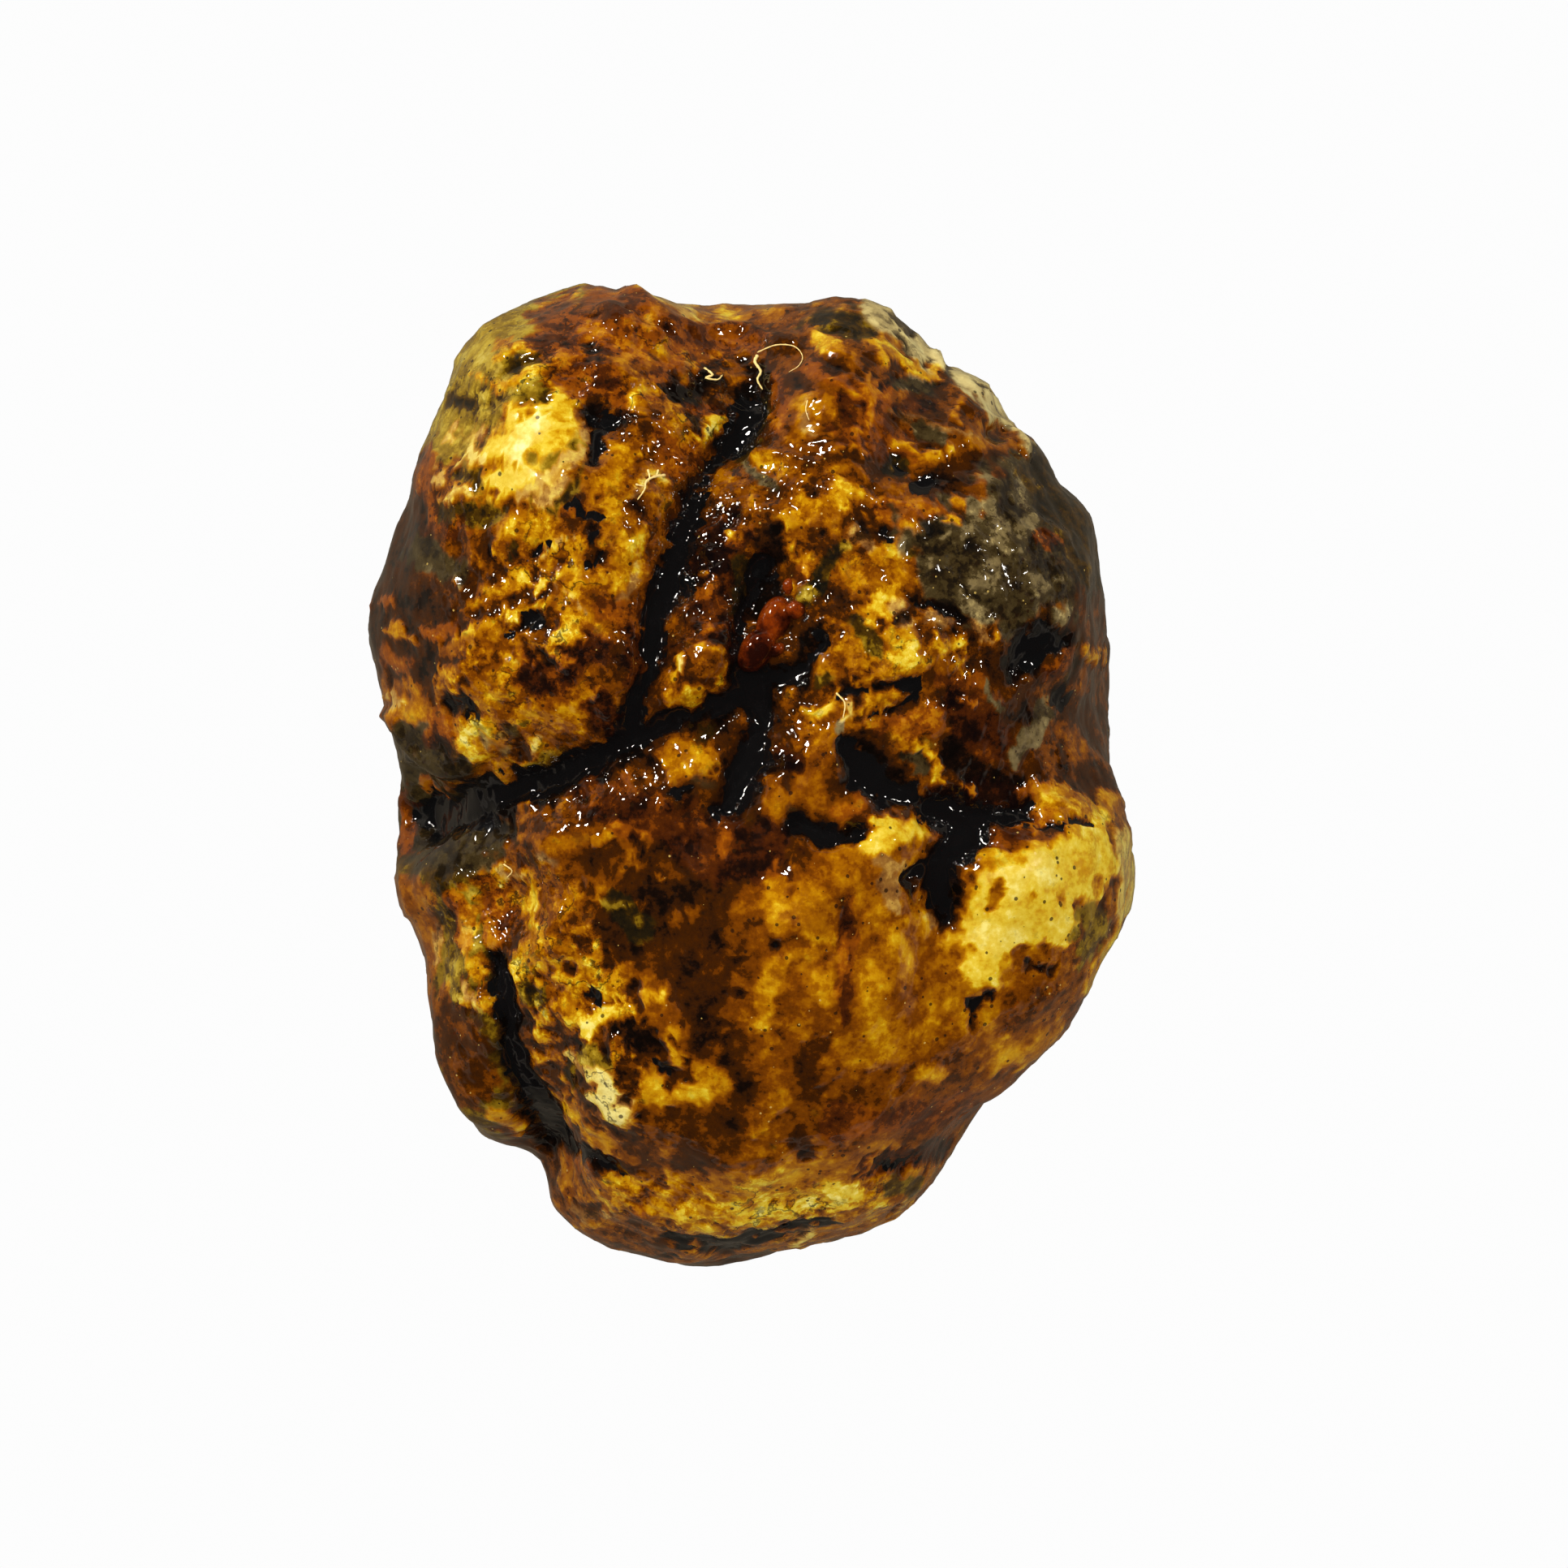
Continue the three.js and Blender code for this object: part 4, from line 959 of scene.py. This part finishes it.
olive_shades = shades(uneven, [
    (0.00, (0.004, 0.004, 0.003)), (0.20, (0.016, 0.010, 0.003)), (0.27, (0.036, 0.017, 0.002)),
    (0.40, (0.070, 0.034, 0.002)), (0.46, (0.15, 0.082, 0.003)), (0.60, (0.27, 0.160, 0.008)),
    (0.66, (0.36, 0.23, 0.014)), (0.80, (0.52, 0.37, 0.035)), (1.00, (0.78, 0.66, 0.18)),
])
# the grey ramp serves both the crust and the painted grey reflections off wet facets
crust_and_sheen_shades = shades(uneven, [
    (0.00, (0.005, 0.004, 0.003)), (0.20, (0.016, 0.010, 0.004)), (0.27, (0.036, 0.023, 0.007)),
    (0.42, (0.062, 0.042, 0.014)), (0.48, (0.13, 0.092, 0.036)), (0.62, (0.22, 0.160, 0.062)),
    (0.68, (0.40, 0.300, 0.11)), (0.84, (0.60, 0.470, 0.18)), (1.00, (0.82, 0.70, 0.28)),
])
redness_here = mask("redness")
colour = mixed(spread(redness_here, 0.1, 0.9), amber_shades, ember_shades)
colour = mixed(spread(redness_here, -0.1, -0.9), colour, olive_shades)
colour = mixed(spread(mask("greyness"), 0.1, 0.95), colour, crust_and_sheen_shades)

# Fine cracks where the skin flakes.
cracks = maths("ABSOLUTE", maths("SUBTRACT", grain(here, 3.2, 5.0, 0.55), 0.5))
cracks = maths("MULTIPLY", spread(cracks, 0.004, 0.016, 1.0, 0.0), spread(mask("lumpiness"), 0.5, 0.9))
cracks = maths("MULTIPLY", cracks, spread(grain(here, 5.0, 2.0), 0.40, 0.55))
colour = mixed(maths("MULTIPLY", cracks, 0.75), colour, (0.014, 0.005, 0.002, 1))

# Soil in the hollows of the skin, fine pits filled with it, and pale grit.
soil = spread(grain(here, 1.1, 7.0, 0.7), 0.56, 0.64)
soil = maths("MULTIPLY", soil, spread(grain(here, 5.0, 2.0), 0.42, 0.6))
soil = maths("MULTIPLY", soil, spread(mask("lumpiness"), 0.3, 0.7, 0.25, 1.0))
soil = maths("MULTIPLY", soil, spread(mask("steepness"), 0.0, 0.6, 1.0, 0.3))
colour = mixed(maths("MULTIPLY", soil, 0.85), colour, (0.014, 0.006, 0.003, 1))
pit_size = spread(grain(here, 1.7, 2.0), 0.32, 0.62, 0.05, 0.16)
pit_size = maths("MULTIPLY_ADD", mask("steepness"), 0.02, pit_size)
in_pit = maths("LESS_THAN", dots(here, 0.85), pit_size)
colour = mixed(maths("MULTIPLY", in_pit, 0.82), colour, (0.02, 0.008, 0.003, 1))
grit_size = spread(grain(here, 2.3, 2.0), 0.38, 0.66, 0.0, 0.09)
on_grit = maths("LESS_THAN", dots(here, 0.8), grit_size)
colour = mixed(maths("MULTIPLY", on_grit, 0.6), colour, (0.70, 0.48, 0.12, 1))

# Black gum in the clefts, with ragged edges.
gum = maths("MULTIPLY_ADD", mottling, 1.1, mask("pitch"))
gum = maths("MULTIPLY_ADD", maths("SUBTRACT", flecks, 0.5), 0.8, gum)
gum = spread(gum, 0.44, 0.58)
colour = mixed(gum, colour, (0.0042, 0.0042, 0.0044, 1))

sheen = spread(grain(here, 1.3, 3.0), 0.3, 0.7, 0.03, 0.07)
sheen = maths("MULTIPLY_ADD", mask("greyness"), 0.04, sheen)
sheen = maths("ADD", sheen, spread(mask("ripeness"), 0.86, 0.96, 0.0, 0.25))
# The film of water rounds off all that is small, and each droplet has its own glint.
AMBER_IOR = 1.54
FILM_RELIEF = 0.13 * MM
droplet = spread(dots(here, 0.9), 0.0, 0.55, 1.0, 0.0)
where_rough = spread(mask("lumpiness"), 0.5, 1.1, 0.1, 1.0)
where_rough = maths("MULTIPLY", where_rough, spread(grain(here, 3.0, 3.0), 0.45, 0.6))
height = maths("MULTIPLY", grain(here, 1.5, 2.0), maths("MULTIPLY", mask("lumpiness"), 1.6))
height = maths("MULTIPLY_ADD", droplet, where_rough, height)
height = maths("MULTIPLY_ADD", in_pit, -0.3, height)
height = maths("MULTIPLY", height, spread(gum, 0.0, 1.0, 1.0, 0.35))
height = maths("MULTIPLY", height, spread(mask("steepness"), 0.0, 0.6, 1.0, 0.35))
bump = add_node(tree, "ShaderNodeBump", {"Strength": 1.0, "Distance": FILM_RELIEF, "Height": height})
resin = add_node(tree, "ShaderNodeBsdfPrincipled", {
    "Base Color": colour, "Roughness": sheen, "Normal": bump.outputs["Normal"], "IOR": AMBER_IOR,
    "Transmission Weight": 0.2,
})
inside = {"Color": (0.92, 0.50, 0.06, 1), "Density": 120.0}
tree.links.new(resin.outputs[0], output.inputs["Surface"])
tree.links.new(add_node(tree, "ShaderNodeVolumeAbsorption", inside).outputs[0], output.inputs["Volume"])
skin.materials.append(amber)
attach(nugget, "root")
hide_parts("amber_nugget")

# ---------------------------------------------------------------------------------------------
# Resin beads: drops of clear red-brown resin that sweated out where the clefts meet and set there.
# Each is a squashed ball, sunk to about its middle in the skin.
# ---------------------------------------------------------------------------------------------
# Each bead: its middle as x and y, half-length, half-width and height in mm, and its turn in degrees.
BEADS = [
    (1.3, 9.2, 1.6, 1, 1.1, 70), (0.3, 7.5, 1.5, 0.95, 1, 55), (2.6, 9.9, 0.6, 0.55, 0.5, 0),
    (1.5, 7.5, 0.55, 0.4, 0.45, 30), (2.2, 11.2, 0.5, 0.4, 0.4, 80),
]
upward = np.flatnonzero(outward[:, 2] > 0.1)


def skin_height(x, y):
    """How high the carved skin is at x and y, in mm, from the corners nearest to them."""
    away = np.hypot(place[upward, 0] - x, place[upward, 1] - y)
    return float(place[upward[np.argsort(away)[:4]], 2].mean())


bead_balls = bmesh.new()
for x, y, long, wide, high, turn in BEADS:
    ball = bmesh.ops.create_icosphere(bead_balls, subdivisions=4, radius=1.0)["verts"]
    middle, sizes = Vector((x, y, skin_height(x, y) - 0.1 * high)), Vector((long, wide, high))
    shape = Matrix.LocRotScale(middle * MM, Euler((0, 0, radians(turn))), sizes * MM)
    bmesh.ops.transform(bead_balls, matrix=shape, verts=ball)
bead_mesh = bpy.data.meshes.new("resin_beads")
bead_balls.to_mesh(bead_mesh)
bead_balls.free()
count = len(bead_mesh.vertices)
bead_place = read_vectors(bead_mesh.vertices, "co", count) / MM
bead_outward = read_vectors(bead_mesh.vertex_normals, "vector", count)
bead_place += bead_outward * (0.10 * lattice_noise(bead_place, 1.5, 70))[:, None]
write_places(bead_mesh, bead_place)
resin_beads = link(bpy.data.objects.new("resin_beads", bead_mesh))
clear_resin, tree, output = new_material("clear_red_resin")
depth_in_bead = shades(grain(places_in_mm(), 1.5, 4.0), [
    (0.0, (0.010, 0.003, 0.002)), (0.40, (0.022, 0.004, 0.002)), (0.50, (0.10, 0.013, 0.002)),
    (0.60, (0.26, 0.036, 0.002)), (0.70, (0.42, 0.085, 0.003)), (1.0, (0.60, 0.17, 0.008)),
])
bead = add_node(tree, "ShaderNodeBsdfPrincipled", {
    "Base Color": depth_in_bead, "Roughness": 0.03, "IOR": AMBER_IOR, "Transmission Weight": 0.4,
})
tree.links.new(bead.outputs[0], output.inputs["Surface"])
bead_mesh.materials.append(clear_resin)
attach(resin_beads, "root")

# ---------------------------------------------------------------------------------------------
# Rootlets: dry, pale threads of root that grew over the lump in the ground and stuck to it.
# Each lies on the skin, thins towards its end and is a little kinked.
# ---------------------------------------------------------------------------------------------
# Each rootlet: its radius at the start, how far it stands off the skin, and its line, in mm.
ROOTLETS = [
    (0.09, 0.15, [(-2.9, 24.5), (-2.4, 24.1), (-2.8, 23.9), (-2.1, 23.8), (-1.8, 24.1)]),
    (0.11, 0.25, [(0.3, 25.3), (0.15, 24.9), (0.5, 24.3), (0.3, 23.8), (0.6, 23.2)]),
    (0.045, 0.15, [(0.3, 25.5), (1.4, 25.9), (2.5, 25.8), (3, 25.2), (2.8, 24.6), (2.2, 24.2)]),
    (0.09, 0.1, [(-5.2, 17.9), (-5.8, 17.8), (-6.3, 17.5), (-6.4, 17), (-6.8, 16.4)]),
    (0.07, 0.1, [(-6.2, 18.2), (-6.1, 17.7), (-6.3, 17.4)]),
    (0.07, 0.1, [(-5.6, 18.2), (-5.7, 17.8)]),
    (0.06, 0.1, [(-6.9, 17.3), (-6.4, 17.2)]),
    (0.06, 0.1, [(5, 4.9), (5.5, 4.3), (5.4, 3.4)]),
    (0.04, 0.08, [(3.3, 22.4), (3.2, 21.8), (3.4, 21.2)]),
    (0.05, 0.08, [(-14.9, -5.3), (-14.4, -5.7), (-14.7, -6.1)]),
]
THREAD_SIDES = 6


def smooth_line(points, steps=6):
    """Points along a smooth line through the given ones."""
    ends = [2 * points[0] - points[1], *points, 2 * points[-1] - points[-2]]
    line = []
    for a, b, c, d in zip(ends, ends[1:], ends[2:], ends[3:]):
        for step in range(steps):
            t = step / steps
            curved = (2 * a - 5 * b + 4 * c - d) * t**2 + (3 * b - a - 3 * c + d) * t**3
            line.append(0.5 * (2 * b + (c - a) * t + curved))
    return [*line, points[-1]]


threads = bmesh.new()
for radius, stand_off, line in ROOTLETS:
    run = smooth_line([Vector((x, y, skin_height(x, y) + stand_off)) for x, y in line])
    rings = []
    for i, middle in enumerate(run):
        along = (run[min(i + 1, len(run) - 1)] - run[max(i - 1, 0)]).normalized()
        side = along.cross(Vector((0, 0, 1))).normalized()
        up = side.cross(along)
        thick = radius * (1 - 0.6 * i / len(run)) * (1 + 0.2 * sin(2.3 * i))
        turns = [2 * pi * corner / THREAD_SIDES for corner in range(THREAD_SIDES)]
        ring = [middle + (side * cos(turn) + up * sin(turn)) * thick for turn in turns]
        rings.append([threads.verts.new(corner * MM) for corner in ring])
    for ring, following in zip(rings, rings[1:]):
        for corner in range(THREAD_SIDES):
            after = (corner + 1) % THREAD_SIDES
            threads.faces.new((ring[corner], ring[after], following[after], following[corner]))
    threads.faces.new(rings[0][::-1])
    threads.faces.new(rings[-1])
bmesh.ops.recalc_face_normals(threads, faces=threads.faces)
thread_mesh = bpy.data.meshes.new("rootlets")
threads.to_mesh(thread_mesh)
threads.free()
thread_mesh.shade_smooth()
rootlets = link(bpy.data.objects.new("rootlets", thread_mesh))
dry_root, tree, output = new_material("dry_root")
root = add_node(tree, "ShaderNodeBsdfPrincipled", {"Base Color": (0.85, 0.62, 0.22, 1), "Roughness": 0.35})
tree.links.new(root.outputs[0], output.inputs["Surface"])
thread_mesh.materials.append(dry_root)
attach(rootlets, "root")
